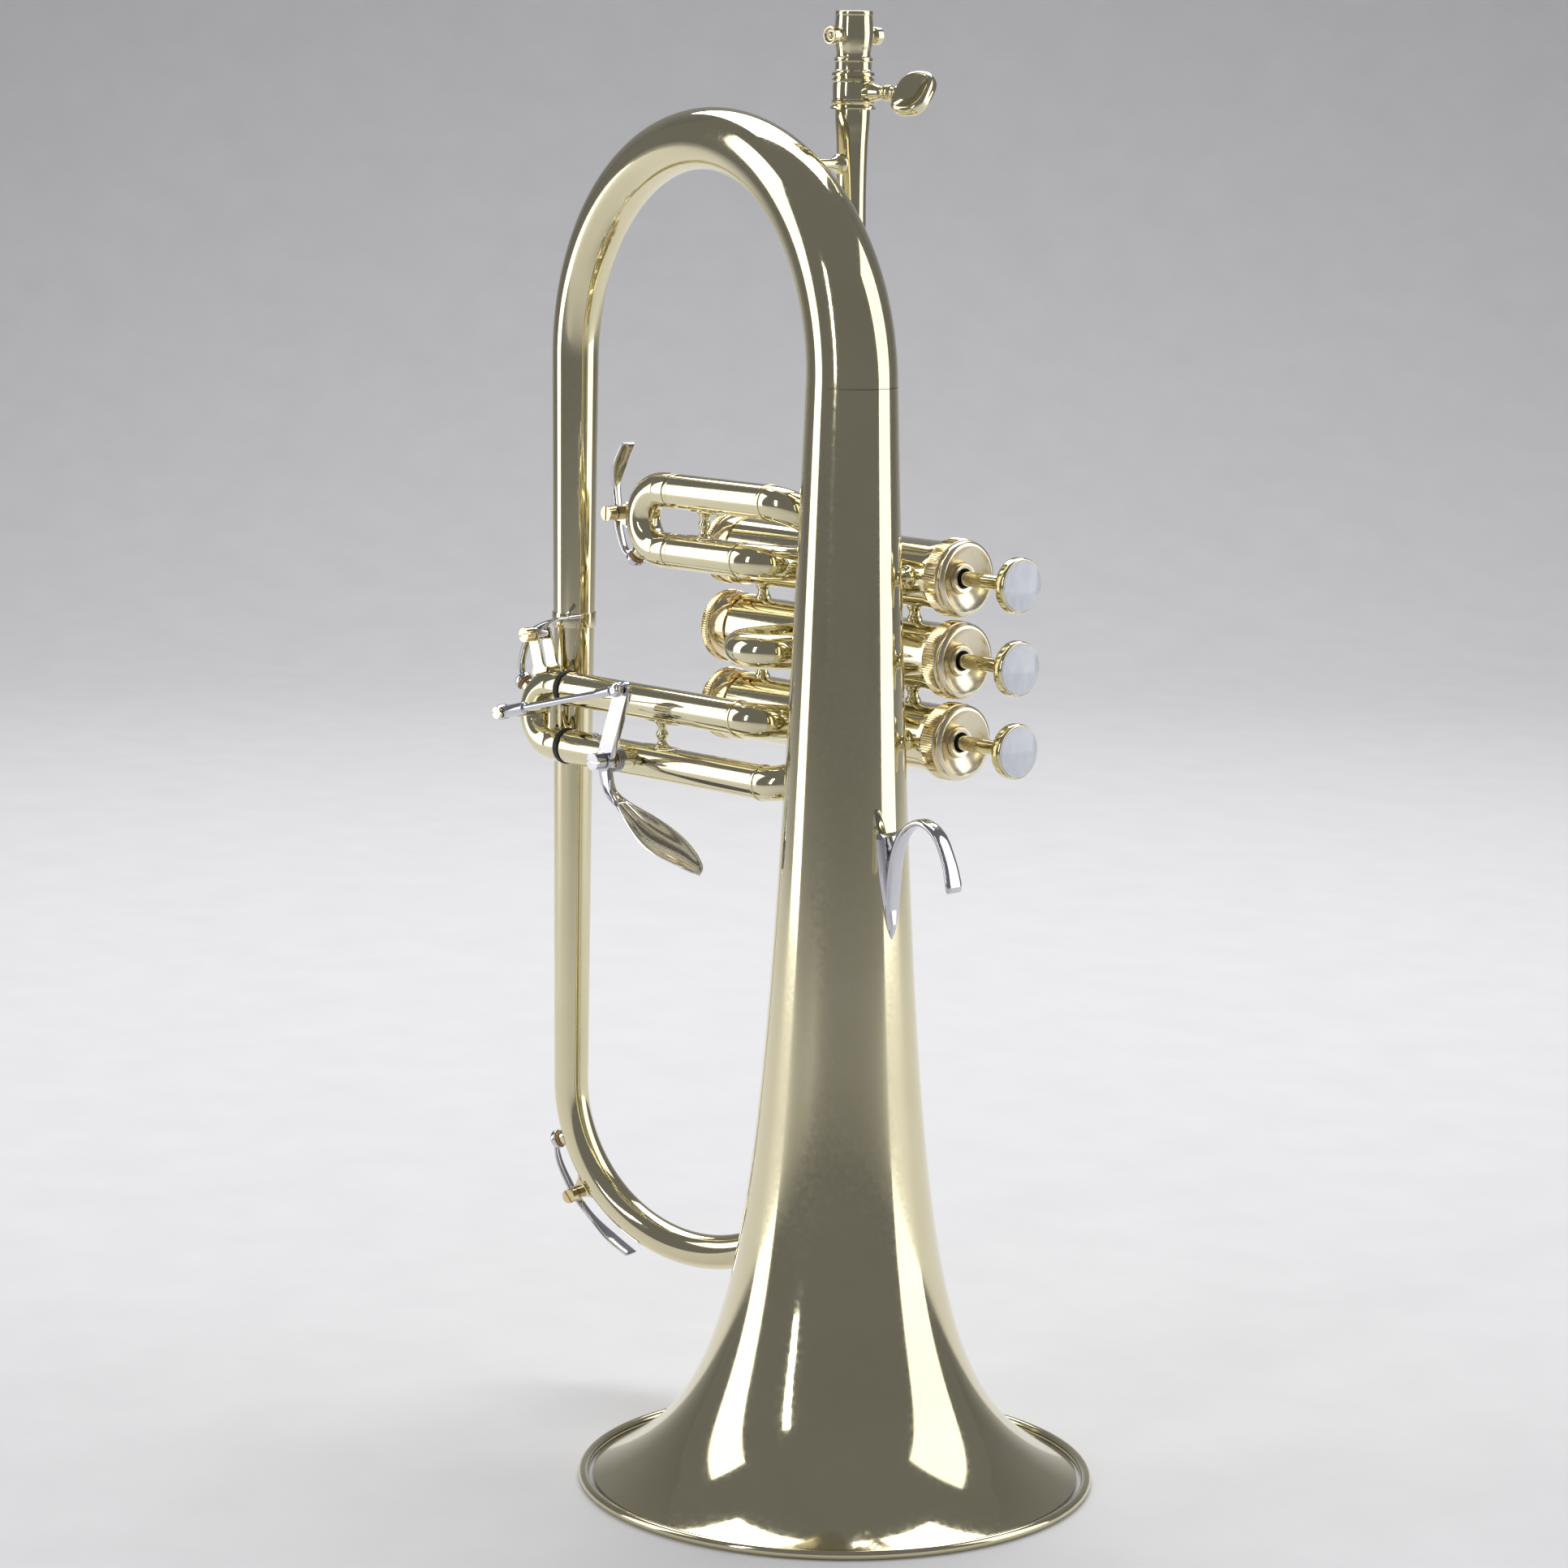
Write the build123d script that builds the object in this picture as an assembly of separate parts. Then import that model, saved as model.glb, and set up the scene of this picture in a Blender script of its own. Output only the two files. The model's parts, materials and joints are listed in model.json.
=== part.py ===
from build123d import *
from math import cos, hypot, pi, radians, sin
import os

# A three-valve flugelhorn standing on its bell. Millimetres, +Z up. The origin is where the bell's axis
# meets the surface that the rim stands on. +X points to the finger buttons and +Y to the valve side.

# ---- driving dimensions ----
RIM_RADIUS = 76.0            # 152 mm bell
BOW_Z = 323.0                # where the bell ends and the large bow begins
TAIL_X = -136.0              # the narrow leg beside the slides
TAIL_Y = 12.4
BLOCK_X = -41.5              # leadpipe, crossovers and bottom bow meet the valves in this plane
BLOCK_Y = 38.5               # plane of the valve axes
SLIDE_Y = -0.5               # plane of the first and third slides
VALVE_Z = (266.0, 241.8, 217.6)
CASING_R = 10.2
BORE_R = 8.55                # inside the casings
PISTON_CLEARANCE = 0.05
STROKE = 15.0
TUBE_R = 5.3                 # outside of every slide sleeve and knuckle
SLIDE_WALL = 0.4
SLIDE_CLEARANCE = 0.05
WINDWAY_R = TUBE_R - 2 * SLIDE_WALL - SLIDE_CLEARANCE
CROOK_R = 9.0                # bend of the slide crooks, half the distance between two legs
ELBOW_R = 8.5
BELL_WALL = 0.7
TUBE_WALL = 0.6
SOLDER_GAP = 0.02            # between two pieces that are soldered face to face

FIRST_Z = (287.0, 269.0)     # upper and lower leg of the first slide
THIRD_Z = (222.0, 204.0)
FIRST_ELBOW_X = (-24.3, -36.2)
THIRD_ELBOW_X = (-36.0, -25.3)
FIRST_SLEEVE_END = -75.0
THIRD_SLEEVE_END = -122.0
FIRST_BEND_X = -80.0
THIRD_BEND_X = -129.5
SECOND_X = (-55.0, -37.0)
SECOND_SLEEVE_Y = 20.5
SECOND_BEND_Y = 12.7

RECEIVER_TOP = 429.0
RECEIVER_BORE_R = 4.5
SHANK_R = 4.85
CLAMP_TOP = 411.2
CLAMP_BOTTOM = 400.4
CLAMP_SCREW_ANGLE = 8.0      # the clamp is turned so far from +X towards +Y
KNOB_Z = 421.8

BOTTOM_BOW_Z = 94.6
FERRULE_Z = 240.4

TRIGGER_PIVOT = (-89.0, 205.3)      # x, z
TRIGGER_EYE = (-80.8, 227.5)
ROD_ANCHOR = (-133.5, 215.0)
PIN_RISE = 0.4               # the rod's pin rests this far above the middle of the lever's eye
LEVER_Y = -15.1
ROD_Y = -18.2

parts = {}


def keep(name, *solids):
    """Put one sub-part, or a group of like solids, in its own node."""
    found = []
    for item in solids:
        found.extend(item.solids())
    parts[name] = found[0] if len(found) == 1 else Compound(children=found)


# ---- small tools ----
def rod(start, end, radius):
    a, b = Vector(start), Vector(end)
    return extrude(Plane(origin=a, z_dir=b - a) * Circle(radius), (b - a).length)


def hollow_rod(start, end, outer, inner):
    return rod(start, end, outer) - rod(start, end, inner)


def frustum(start, end, r0, r1):
    """A cone's trunk from start, of radius r0, to end, of radius r1."""
    a, b = Vector(start), Vector(end)
    plane = Plane(origin=a, z_dir=b - a)
    profile = Polyline((0, 0), (r0, 0), (r1, (b - a).length), (0, (b - a).length), close=True)
    return plane * revolve(Plane.XZ * make_face(profile), Axis.Z)


def spin_about_x(points, y, z):
    """Turn an outline of (x, radius) points about the line along X through y, z."""
    face = make_face(Polyline(*[(x, r) for x, r in points], close=True))
    return Pos(0, y, z) * revolve(face, Axis.X)


def spin_about_z(points, x, y):
    """Turn an outline of (radius, z) points about the vertical line through x, y."""
    face = Plane.XZ * make_face(Polyline(*[(r, z) for r, z in points], close=True))
    return Pos(x, y, 0) * revolve(face, Axis.Z)


def path_of(points, bend):
    return FilletPolyline(*points, radius=bend) if len(points) > 2 else Line(*points)


def pipe(points, bend, outer, inner):
    path = path_of(points, bend)
    start = Plane(origin=path @ 0, z_dir=path % 0)
    return sweep(start * (Circle(outer) - Circle(inner)), path=path)


def block(x0, x1, y0, y1, z0, z1):
    return Pos((x0 + x1) / 2, (y0 + y1) / 2, (z0 + z1) / 2) * Box(x1 - x0, y1 - y0, z1 - z0)


def toward_axis(x, z_leg, valve, reach):
    """A point on the line from a knuckle's corner to its valve's axis, reach short of that axis."""
    dy, dz = BLOCK_Y - SLIDE_Y, VALVE_Z[valve] - z_leg
    share = 1 - reach / hypot(dy, dz)
    return (x, SLIDE_Y + dy * share, z_leg + dz * share)


# ---- bell, large bow and tail ----
def flare(z):
    """Outer radius of the bell at height z: a horn flare on a slow cone."""
    return 19.15 - 0.0257 * z + 56.1 * (31.7 / (z + 31.7)) ** 1.3


BEAD_R = 1.5
BEAD_RING = RIM_RADIUS - BEAD_R
BEAD_Z = 1.35
FLARE_FOOT = 1.6


def bell():
    heights = [FLARE_FOOT, 4, 9, 16, 27, 45, 75, 120, 180, 250, BOW_Z]
    outer = Spline(*[(flare(z), z) for z in heights])
    inner = Spline(*[(flare(z) - BELL_WALL * wall_share(z), z) for z in heights])
    foot = Line(outer @ 0, inner @ 0)
    top = Line(outer @ 1, inner @ 1)
    shell = revolve(Plane.XZ * make_face(Curve() + [outer, top, inner, foot]), Axis.Z)
    return shell - rim_bead(BEAD_R + SOLDER_GAP)


def wall_share(z):
    """The wall measured across the axis is thicker where the flare leans out."""
    step = 0.5
    slope = (flare(z + step) - flare(z)) / step
    return hypot(1, slope)


def rim_bead(radius):
    bead = revolve(Plane.XZ * Pos(BEAD_RING, BEAD_Z) * Circle(radius), Axis.Z)
    return bead - Pos(0, 0, -5) * Cylinder(RIM_RADIUS + 5, 10)


BOW_SPAN = hypot(TAIL_X, TAIL_Y)
BOW_RADIUS = BOW_SPAN / 2
BOW_STATIONS = (0, 0.125, 0.25, 0.375, 0.5, 0.625, 0.75, 0.875, 1)
BOW_TUBE_R = (flare(BOW_Z), 12.6, 11.5, 10.3, 9.25, 8.5, 7.95, 7.5, 7.2)


def bow_section(share, radius):
    """A circle of the large bow, share of the way round from the bell to the tail."""
    turn = pi * share
    along = BOW_RADIUS * (1 - cos(turn))
    ux, uy = TAIL_X / BOW_SPAN, TAIL_Y / BOW_SPAN
    origin = (along * ux, along * uy, BOW_Z + BOW_RADIUS * sin(turn))
    ahead = Vector(sin(turn) * ux, sin(turn) * uy, cos(turn))
    side = Vector(uy, -ux, 0)
    return Plane(origin=origin, x_dir=side, z_dir=ahead) * Circle(radius)


def bow_loft(less):
    stations = list(zip(BOW_STATIONS, BOW_TUBE_R))
    return loft([bow_section(share, radius - less) for share, radius in stations])


TAIL_TOP_R = 7.2
TAIL_FOOT_R = 6.5


def bell_bow():
    """The large bow, drawn in one piece with the tail that comes down beside the slides."""
    low = FERRULE_Z + 1.6
    shape = [(TAIL_TOP_R, BOW_Z), (TAIL_FOOT_R, low), (TAIL_FOOT_R - TUBE_WALL, low)]
    tail = spin_about_z([*shape, (TAIL_TOP_R - TUBE_WALL, BOW_Z)], TAIL_X, TAIL_Y)
    return bow_loft(0) - bow_loft(TUBE_WALL) + tail


FERRULE_R = 6.95
BRANCH_TOP_R = 6.35
BRANCH_TOP = FERRULE_Z + 1.4
BOTTOM_TUBE_R = 5.4


def tail_ferrule():
    """The ring that covers the joint between the bell's tail and the bottom bow's branch."""
    tail_bore, branch_bore = TAIL_FOOT_R + 0.04, BRANCH_TOP_R + SOLDER_GAP
    upper = [(tail_bore, FERRULE_Z + 1.6), (tail_bore, FERRULE_Z + 3.4), (FERRULE_R - 0.1, FERRULE_Z + 3.4)]
    lower = [(FERRULE_R, FERRULE_Z - 1.4), (branch_bore, FERRULE_Z - 1.4), (branch_bore, FERRULE_Z + 1.6)]
    return spin_about_z([*upper, *lower], TAIL_X, TAIL_Y)


def tail_branch():
    low = BOTTOM_BOW_Z
    shape = [(BRANCH_TOP_R, BRANCH_TOP), (BOTTOM_TUBE_R, low), (WINDWAY_R, low)]
    return spin_about_z([*shape, (BRANCH_TOP_R - TUBE_WALL, BRANCH_TOP)], TAIL_X, TAIL_Y)


def bottom_frame():
    """The bottom bow's centre, radius and the direction from its tail leg to its valve leg."""
    dx, dy = BLOCK_X - TAIL_X, BLOCK_Y - TAIL_Y
    span = hypot(dx, dy)
    centre = Vector((TAIL_X + BLOCK_X) / 2, (TAIL_Y + BLOCK_Y) / 2, BOTTOM_BOW_Z)
    return centre, span / 2, Vector(dx, dy, 0) / span


def bottom_bend(outer, inner):
    """The half-circle bend under the bell's side, from the tail branch to the valve leg."""
    centre, radius, ahead = bottom_frame()
    start = centre - ahead * radius
    path = ThreePointArc(start, centre - Vector(0, 0, radius), centre + ahead * radius)
    ring = Circle(outer) - Circle(inner) if inner else Circle(outer)
    return sweep(Plane(origin=start, z_dir=(0, 0, -1)) * ring, path=path)


def bottom_bow():
    """The long branch, the bend and the leg up to the third valve, drawn as one tube."""
    return tail_branch() + bottom_bend(BOTTOM_TUBE_R, WINDWAY_R) + valve_leg()


def valve_leg():
    top = VALVE_Z[2]
    leg = hollow_rod((BLOCK_X, BLOCK_Y, BOTTOM_BOW_Z), (BLOCK_X, BLOCK_Y, top), BOTTOM_TUBE_R, WINDWAY_R)
    return leg - casing_body(2, SOLDER_GAP)


# ---- valves ----
CASING_X = (-89.0, 6.2)


def casing_body(valve, extra=0.0):
    z = VALVE_Z[valve]
    return rod((CASING_X[0], BLOCK_Y, z), (CASING_X[1], BLOCK_Y, z), CASING_R + extra)


def port(valve, x, far):
    """The hole that a tube's windway makes in a casing's wall, towards the point far."""
    return rod((x, BLOCK_Y, VALVE_Z[valve]), far, WINDWAY_R)


def ports(valve):
    z = VALVE_Z[valve]
    up = port(valve, BLOCK_X, (BLOCK_X, BLOCK_Y, z + 14))
    down = port(valve, BLOCK_X, (BLOCK_X, BLOCK_Y, z - 14))
    second = [(x, z) for x in SECOND_X]
    sides = (zip(FIRST_ELBOW_X, FIRST_Z), second, zip(THIRD_ELBOW_X, THIRD_Z))
    beside = [port(valve, x, toward_axis(x, leg, valve, 16)) for x, leg in sides[valve]]
    return [up, down, *beside]


def valve_casing(valve):
    z = VALVE_Z[valve]
    shell = casing_body(valve) - rod((-95, BLOCK_Y, z), (10, BLOCK_Y, z), BORE_R)
    for hole in ports(valve):
        shell -= hole
    return shell


def between_casings(upper, x, radius, inner=0.0):
    """A tube or post along Z that fills the gap between two neighbouring casings."""
    low, high = VALVE_Z[upper + 1], VALVE_Z[upper]
    post = rod((x, BLOCK_Y, low), (x, BLOCK_Y, high), radius)
    if inner:
        post -= rod((x, BLOCK_Y, low), (x, BLOCK_Y, high), inner)
    return post - casing_body(upper, SOLDER_GAP) - casing_body(upper + 1, SOLDER_GAP)


BRIDGE_X = (-77.4, -11.7)
BRIDGE_R = 2.4


def casing_bridges():
    return [between_casings(k, x, BRIDGE_R) for k in (0, 1) for x in BRIDGE_X]


def valve_crossovers():
    return [between_casings(k, BLOCK_X, TUBE_R, WINDWAY_R) for k in (0, 1)]


CAP_FRONT = 10.3
STEM_HOLE_R = 3.0
CAP_KNURL_R = 11.5


def top_cap(z):
    skirt = CASING_R + 0.05
    knurl = [(2.6, skirt), (2.6, CAP_KNURL_R), (8.0, CAP_KNURL_R)]
    front = [(8.6, 11.2), (9.7, 10.8), (CAP_FRONT, 10.2)]
    dish = [(CAP_FRONT, 9.3), (9.5, 8.8), (7.5, 4.7), (8.9, 4.3), (8.9, STEM_HOLE_R)]
    return spin_about_x([*knurl, *front, *dish, (6.4, STEM_HOLE_R), (6.4, skirt)], BLOCK_Y, z)


def bottom_cap(z):
    skirt = CASING_R + 0.05
    outside = [(-84.0, skirt), (-84.0, 10.7), (-90.6, 10.7), (-90.9, 11.1), (-93.5, 11.1), (-94.2, 10.4)]
    face = [(-94.2, 8.4), (-93.4, 7.6), (-93.4, 1.5), (-91.4, 1.5)]
    return spin_about_x([*outside, *face, (-91.4, skirt)], BLOCK_Y, z)


STEM_R = 2.2


def stem_felt(z):
    return hollow_rod((6.6, BLOCK_Y, z), (8.3, BLOCK_Y, z), STEM_HOLE_R - 0.03, STEM_R + 0.35)


PISTON_X = (-68.0, -12.0)


def piston(valve):
    """The barrel with its straight windway and the two that line up when it is pressed."""
    z = VALVE_Z[valve]
    body = rod((PISTON_X[0], BLOCK_Y, z), (PISTON_X[1], BLOCK_Y, z), BORE_R - PISTON_CLEARANCE)
    straight = rod((BLOCK_X, BLOCK_Y, z - 12), (BLOCK_X, BLOCK_Y, z + 12), 4.2)
    pressed = BLOCK_X + STROKE
    elbow = rod((pressed, BLOCK_Y, z), (pressed, BLOCK_Y, z + 12), 4.2)
    elbow += rod((pressed, BLOCK_Y + 4.2, z), (pressed, BLOCK_Y - 12, z), 4.2)
    seat = rod((PISTON_X[0] - 1, BLOCK_Y, z), (PISTON_X[0] + 4, BLOCK_Y, z), 7.4)
    return body - straight - elbow - seat


BUTTON_NECK_X = 24.2         # past the cap when the button is pressed home


def valve_stem(z):
    return rod((PISTON_X[1], BLOCK_Y, z), (BUTTON_NECK_X, BLOCK_Y, z), STEM_R)


BUTTON_R = 8.25
PEARL_R = 7.5


def finger_button(z):
    neck = [(BUTTON_NECK_X, 0), (BUTTON_NECK_X, 2.6), (25.6, 3.2), (27.2, 4.2)]
    seat = PEARL_R + 0.03
    disc = [(28.1, 7.2), (28.7, 8.0), (29.4, BUTTON_R), (31.2, BUTTON_R), (32.1, 7.85), (32.1, seat)]
    return spin_about_x([*neck, *disc, (31.0, seat), (31.0, 0)], BLOCK_Y, z)


def button_pearl(z):
    seat, edge, crown = 31.02, 32.2, 32.9
    dome = [(edge, PEARL_R), (crown - 0.15, PEARL_R * 0.5), (crown, 0)]
    return spin_about_x([(seat, 0), (seat, PEARL_R), *dome], BLOCK_Y, z)


SPRING_WIRE_R = 0.4
SPRING_R = 6.4
SPRING_TURNS = 6


def coil(length, radius, wire, turns):
    helix = Helix(length / turns, length, radius)
    return sweep(Plane(origin=helix @ 0, z_dir=helix % 0) * Circle(wire), path=helix)


def valve_spring(z):
    low, high = -91.4 + SPRING_WIRE_R + 0.05, PISTON_X[0] + 4 - SPRING_WIRE_R - 0.05
    return Pos(low, BLOCK_Y, z) * Rot(0, 90, 0) * coil(high - low, SPRING_R, SPRING_WIRE_R, SPRING_TURNS)


# ---- slides ----
RING_R = TUBE_R + 0.22
RING_LENGTH = 1.3


def slide_sleeve(end_x, corner_x, z, valve):
    """One fixed leg: a straight sleeve with an elbow that turns to its valve."""
    inside = toward_axis(corner_x, z, valve, 9.0)
    points = [(end_x, SLIDE_Y, z), (corner_x, SLIDE_Y, z), inside]
    tube = pipe(points, ELBOW_R, TUBE_R, TUBE_R - SLIDE_WALL)
    ring_x = corner_x - ELBOW_R
    ring_start = (ring_x - RING_LENGTH, SLIDE_Y, z)
    tube += hollow_rod(ring_start, (ring_x, SLIDE_Y, z), RING_R, TUBE_R - SLIDE_WALL)
    return tube - casing_body(valve, SOLDER_GAP)


def first_slide_sleeves():
    return [slide_sleeve(FIRST_SLEEVE_END, x, z, 0) for x, z in zip(FIRST_ELBOW_X, FIRST_Z)]


def third_slide_sleeves():
    return [slide_sleeve(THIRD_SLEEVE_END, x, z, 2) for x, z in zip(THIRD_ELBOW_X, THIRD_Z)]


def second_slide_sleeves():
    z, bore = VALVE_Z[1], TUBE_R - SLIDE_WALL
    legs = [hollow_rod((x, SECOND_SLEEVE_Y, z), (x, BLOCK_Y, z), TUBE_R, bore) for x in SECOND_X]
    return [leg - casing_body(1, SOLDER_GAP) for leg in legs]


CROOK_GAP = 0.3


def crook(bend_x, face_x, legs_z, inner):
    """A U bend in the plane of the slides, with its two straight ferrules."""
    high, low = legs_z
    middle = (high + low) / 2
    over = Line((face_x, SLIDE_Y, high), (bend_x, SLIDE_Y, high))
    outermost = (bend_x - CROOK_R, SLIDE_Y, middle)
    turn = ThreePointArc((bend_x, SLIDE_Y, high), outermost, (bend_x, SLIDE_Y, low))
    back = Line((bend_x, SLIDE_Y, low), (face_x, SLIDE_Y, low))
    ring = Circle(TUBE_R) - Circle(inner) if inner else Circle(TUBE_R)
    start = Plane(origin=(face_x, SLIDE_Y, high), z_dir=(-1, 0, 0))
    return sweep(start * ring, path=Curve() + [over, turn, back])


def second_crook():
    z = VALVE_Z[1]
    left, right = SECOND_X
    face = SECOND_SLEEVE_Y - CROOK_GAP
    outermost = ((left + right) / 2, SECOND_BEND_Y - CROOK_R, z)
    over = Line((left, face, z), (left, SECOND_BEND_Y, z))
    turn = ThreePointArc((left, SECOND_BEND_Y, z), outermost, (right, SECOND_BEND_Y, z))
    back = Line((right, SECOND_BEND_Y, z), (right, face, z))
    start = Plane(origin=(left, face, z), z_dir=(0, -1, 0))
    return sweep(start * (Circle(TUBE_R) - Circle(WINDWAY_R)), path=Curve() + [over, turn, back])


INNER_R = TUBE_R - SLIDE_WALL - SLIDE_CLEARANCE
FIRST_FACE = FIRST_SLEEVE_END - CROOK_GAP
ORING_WIDTH = 2.3
THIRD_FACE = THIRD_SLEEVE_END - CROOK_GAP - ORING_WIDTH


def inner_legs(face_x, ends_x, legs_z):
    start, pairs = face_x + SOLDER_GAP, zip(ends_x, legs_z)
    return [hollow_rod((start, SLIDE_Y, z), (x, SLIDE_Y, z), INNER_R, WINDWAY_R) for x, z in pairs]


def second_inner_legs():
    z, start, end = VALVE_Z[1], SECOND_SLEEVE_Y - CROOK_GAP + SOLDER_GAP, BLOCK_Y - CASING_R - 0.6
    return [hollow_rod((x, start, z), (x, end, z), INNER_R, WINDWAY_R) for x in SECOND_X]


def oring(z):
    """A rubber ring that cushions the third slide against its sleeve."""
    start, end = THIRD_FACE + 0.1, THIRD_FACE + ORING_WIDTH
    return hollow_rod((start, SLIDE_Y, z), (end, SLIDE_Y, z), TUBE_R + 0.1, INNER_R + 0.02)


FIRST_BRACE_X = -61.5
THIRD_BRACE_X = -79.5
BRACE_R = 1.5
BRACE_FLANGE_R = 3.0


def slide_brace(x, legs_z):
    high, low = legs_z
    post = rod((x, SLIDE_Y, low), (x, SLIDE_Y, high), BRACE_R)
    for z, toward in ((low, 1), (high, -1)):
        root = (x, SLIDE_Y, z + toward * (TUBE_R - 1.0))
        post += frustum(root, (x, SLIDE_Y, z + toward * (TUBE_R + 1.6)), BRACE_FLANGE_R, BRACE_R)
        post -= rod((x - 9, SLIDE_Y, z), (x + 9, SLIDE_Y, z), TUBE_R + SOLDER_GAP)
    return post


# ---- leadpipe ----
LEADPIPE_SLEEVE_R = 5.25


def leadpipe():
    """The sleeve for the tuning shank, which narrows and then opens slowly down to the first valve."""
    low, narrow_z, neck_z, wide_z = VALVE_Z[0], 375.0, 388.0, 290.0
    socket = [(LEADPIPE_SLEEVE_R, CLAMP_TOP), (5.2, 398.5)]
    outside = [*socket, (4.6, neck_z), (4.4, narrow_z), (TUBE_R, wide_z), (TUBE_R, low)]
    shank = SHANK_R + SLIDE_CLEARANCE
    bore = [(WINDWAY_R, low), (WINDWAY_R, wide_z), (3.7, narrow_z), (3.9, neck_z)]
    inside = [*bore, (shank, 396.0), (shank, CLAMP_TOP)]
    return spin_about_z([*outside, *inside], BLOCK_X, BLOCK_Y) - casing_body(0, SOLDER_GAP)


def mouthpiece_receiver():
    """The barrel that takes the mouthpiece, on the shank that slides in the leadpipe."""
    barrel = [(5.3, RECEIVER_TOP), (5.55, 428.4), (5.7, 425.5), (5.8, 421.8), (5.6, 419.0), (5.05, 415.6)]
    bead = [(5.75, 415.2), (5.75, 414.3), (5.45, 414.1), (5.45, 411.7), (5.75, 411.5)]
    shank_top, shank_end, throat_r = CLAMP_TOP + 0.1, 397.5, 3.9
    shank = [(5.75, shank_top), (SHANK_R, shank_top), (SHANK_R, shank_end), (throat_r, shank_end)]
    inside = [(throat_r, 402.0), (RECEIVER_BORE_R, 404.0), (RECEIVER_BORE_R, RECEIVER_TOP)]
    return spin_about_z([*barrel, *bead, *shank, *inside], BLOCK_X, BLOCK_Y)


def pull_knob(side):
    """One of the two knobs beside the receiver; side is -1 or 1 along Y."""
    def at(reach):
        return (BLOCK_X, BLOCK_Y + side * reach, KNOB_Z)
    knob = rod(at(4.9), at(7.0), 1.7) + frustum(at(6.8), at(7.7), 2.1, 2.7) + rod(at(7.7), at(10.1), 2.7)
    knob -= rod(at(9.4), at(10.6), 1.9)
    knob += Pos(*at(9.4)) * Sphere(0.95)
    return knob - Pos(BLOCK_X, BLOCK_Y, KNOB_Z) * Cylinder(5.8 + SOLDER_GAP, 20)


CLAMP_R = 6.2


def around_clamp(reach, z=405.3):
    """A point reach away from the leadpipe's axis, in the direction of the clamp's screw."""
    turn = radians(CLAMP_SCREW_ANGLE)
    return (BLOCK_X + reach * cos(turn), BLOCK_Y + reach * sin(turn), z)


SCREW_SHAFT_R = 1.5
BOSS_END = 13.0


def leadpipe_clamp():
    bore = LEADPIPE_SLEEVE_R + SOLDER_GAP
    waist, bead = CLAMP_R - 0.3, CLAMP_R + 0.2
    rings = [(bead, CLAMP_TOP), (bead, 410.0), (waist, 409.8), (bead, 409.4), (waist, 408.2)]
    collar = [(waist, 403.4), (bead, 402.9), (bead, 401.5), (6.9, 401.0), (6.9, CLAMP_BOTTOM)]
    inside = [(bore, CLAMP_BOTTOM), (bore, CLAMP_TOP)]
    ring = spin_about_z([*rings, *collar, *inside], BLOCK_X, BLOCK_Y)
    boss = frustum(around_clamp(5.4), around_clamp(BOSS_END), 3.0, 2.4)
    boss -= Pos(BLOCK_X, BLOCK_Y, 405.3) * Cylinder(5.5, 12)
    return ring + boss - rod(around_clamp(5.0), around_clamp(BOSS_END + 2), SCREW_SHAFT_R + 0.05)


HEAD_REACH = 22.4
HEAD_HALF_LENGTH = 6.4
HEAD_HALF_WIDTH = 7.4
HEAD_THICK = 4.0
HEAD_TILT = 38.0             # the head's plane leans so far from upright


def clamp_screw():
    """A thumb screw with a thick, rounded flat head that contains its axis."""
    shaft = rod(around_clamp(5.6), around_clamp(HEAD_REACH - 2), SCREW_SHAFT_R)
    collar = frustum(around_clamp(BOSS_END + 0.3), around_clamp(HEAD_REACH - HEAD_HALF_LENGTH + 1), 2.4, 1.9)
    middle = Vector(around_clamp(HEAD_REACH))
    out = (Vector(around_clamp(HEAD_REACH + 1)) - middle).normalized()
    lean = radians(HEAD_TILT)
    face_normal = Vector(out.Y, -out.X, 0) * cos(lean) + Vector(0, 0, sin(lean))
    outline = RectangleRounded(2 * HEAD_HALF_LENGTH, 2 * HEAD_HALF_WIDTH, HEAD_HALF_LENGTH * 0.7)
    head = extrude(Plane(origin=middle, x_dir=out, z_dir=face_normal) * outline, HEAD_THICK / 2, both=True)
    return shaft + collar + fillet(head.edges(), 0.9)


BRACE_Z = 384.5


def leadpipe_brace():
    """The flanged post between the large bow and the leadpipe."""
    near, far = (BLOCK_X, 4.0, BRACE_Z), (BLOCK_X, BLOCK_Y, BRACE_Z)
    post = rod(near, far, 1.7)
    post += frustum((BLOCK_X, 12.0, BRACE_Z), (BLOCK_X, 16.5, BRACE_Z), 3.6, 1.7)
    post += frustum((BLOCK_X, 36.0, BRACE_Z), (BLOCK_X, 31.0, BRACE_Z), 3.3, 1.7)
    post -= bow_loft(-SOLDER_GAP)
    cut = [(0, 370), (4.62, 370), (4.62, 400), (0, 400)]
    return post - spin_about_z(cut, BLOCK_X, BLOCK_Y)


# ---- braces and hook on the bell ----
BELL_BRACE_X = -5.0


def bell_brace(valve):
    z = VALVE_Z[valve]
    post = rod((BELL_BRACE_X, 5, z), (BELL_BRACE_X, BLOCK_Y, z), 2.0)
    post += frustum((BELL_BRACE_X, 14, z), (BELL_BRACE_X, 21, z), 4.0, 2.0)
    post += frustum((BELL_BRACE_X, 30, z), (BELL_BRACE_X, 25, z), 3.4, 2.0)
    return post - bell_core(SOLDER_GAP) - casing_body(valve, SOLDER_GAP)


def bell_core(extra):
    """A solid plug of the bell's outer shape, for fitting feet to its surface."""
    heights = (150, 165, 180, 195, 210, 225, 245, 265, 280)
    side = Spline(*[(flare(z) + extra, z) for z in heights])
    top, low = Line(side @ 1, (0, heights[-1])), Line((0, heights[0]), side @ 0)
    outline = Curve() + [side, top, Line((0, heights[-1]), (0, heights[0])), low]
    return revolve(Plane.XZ * make_face(outline), Axis.Z)


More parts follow.
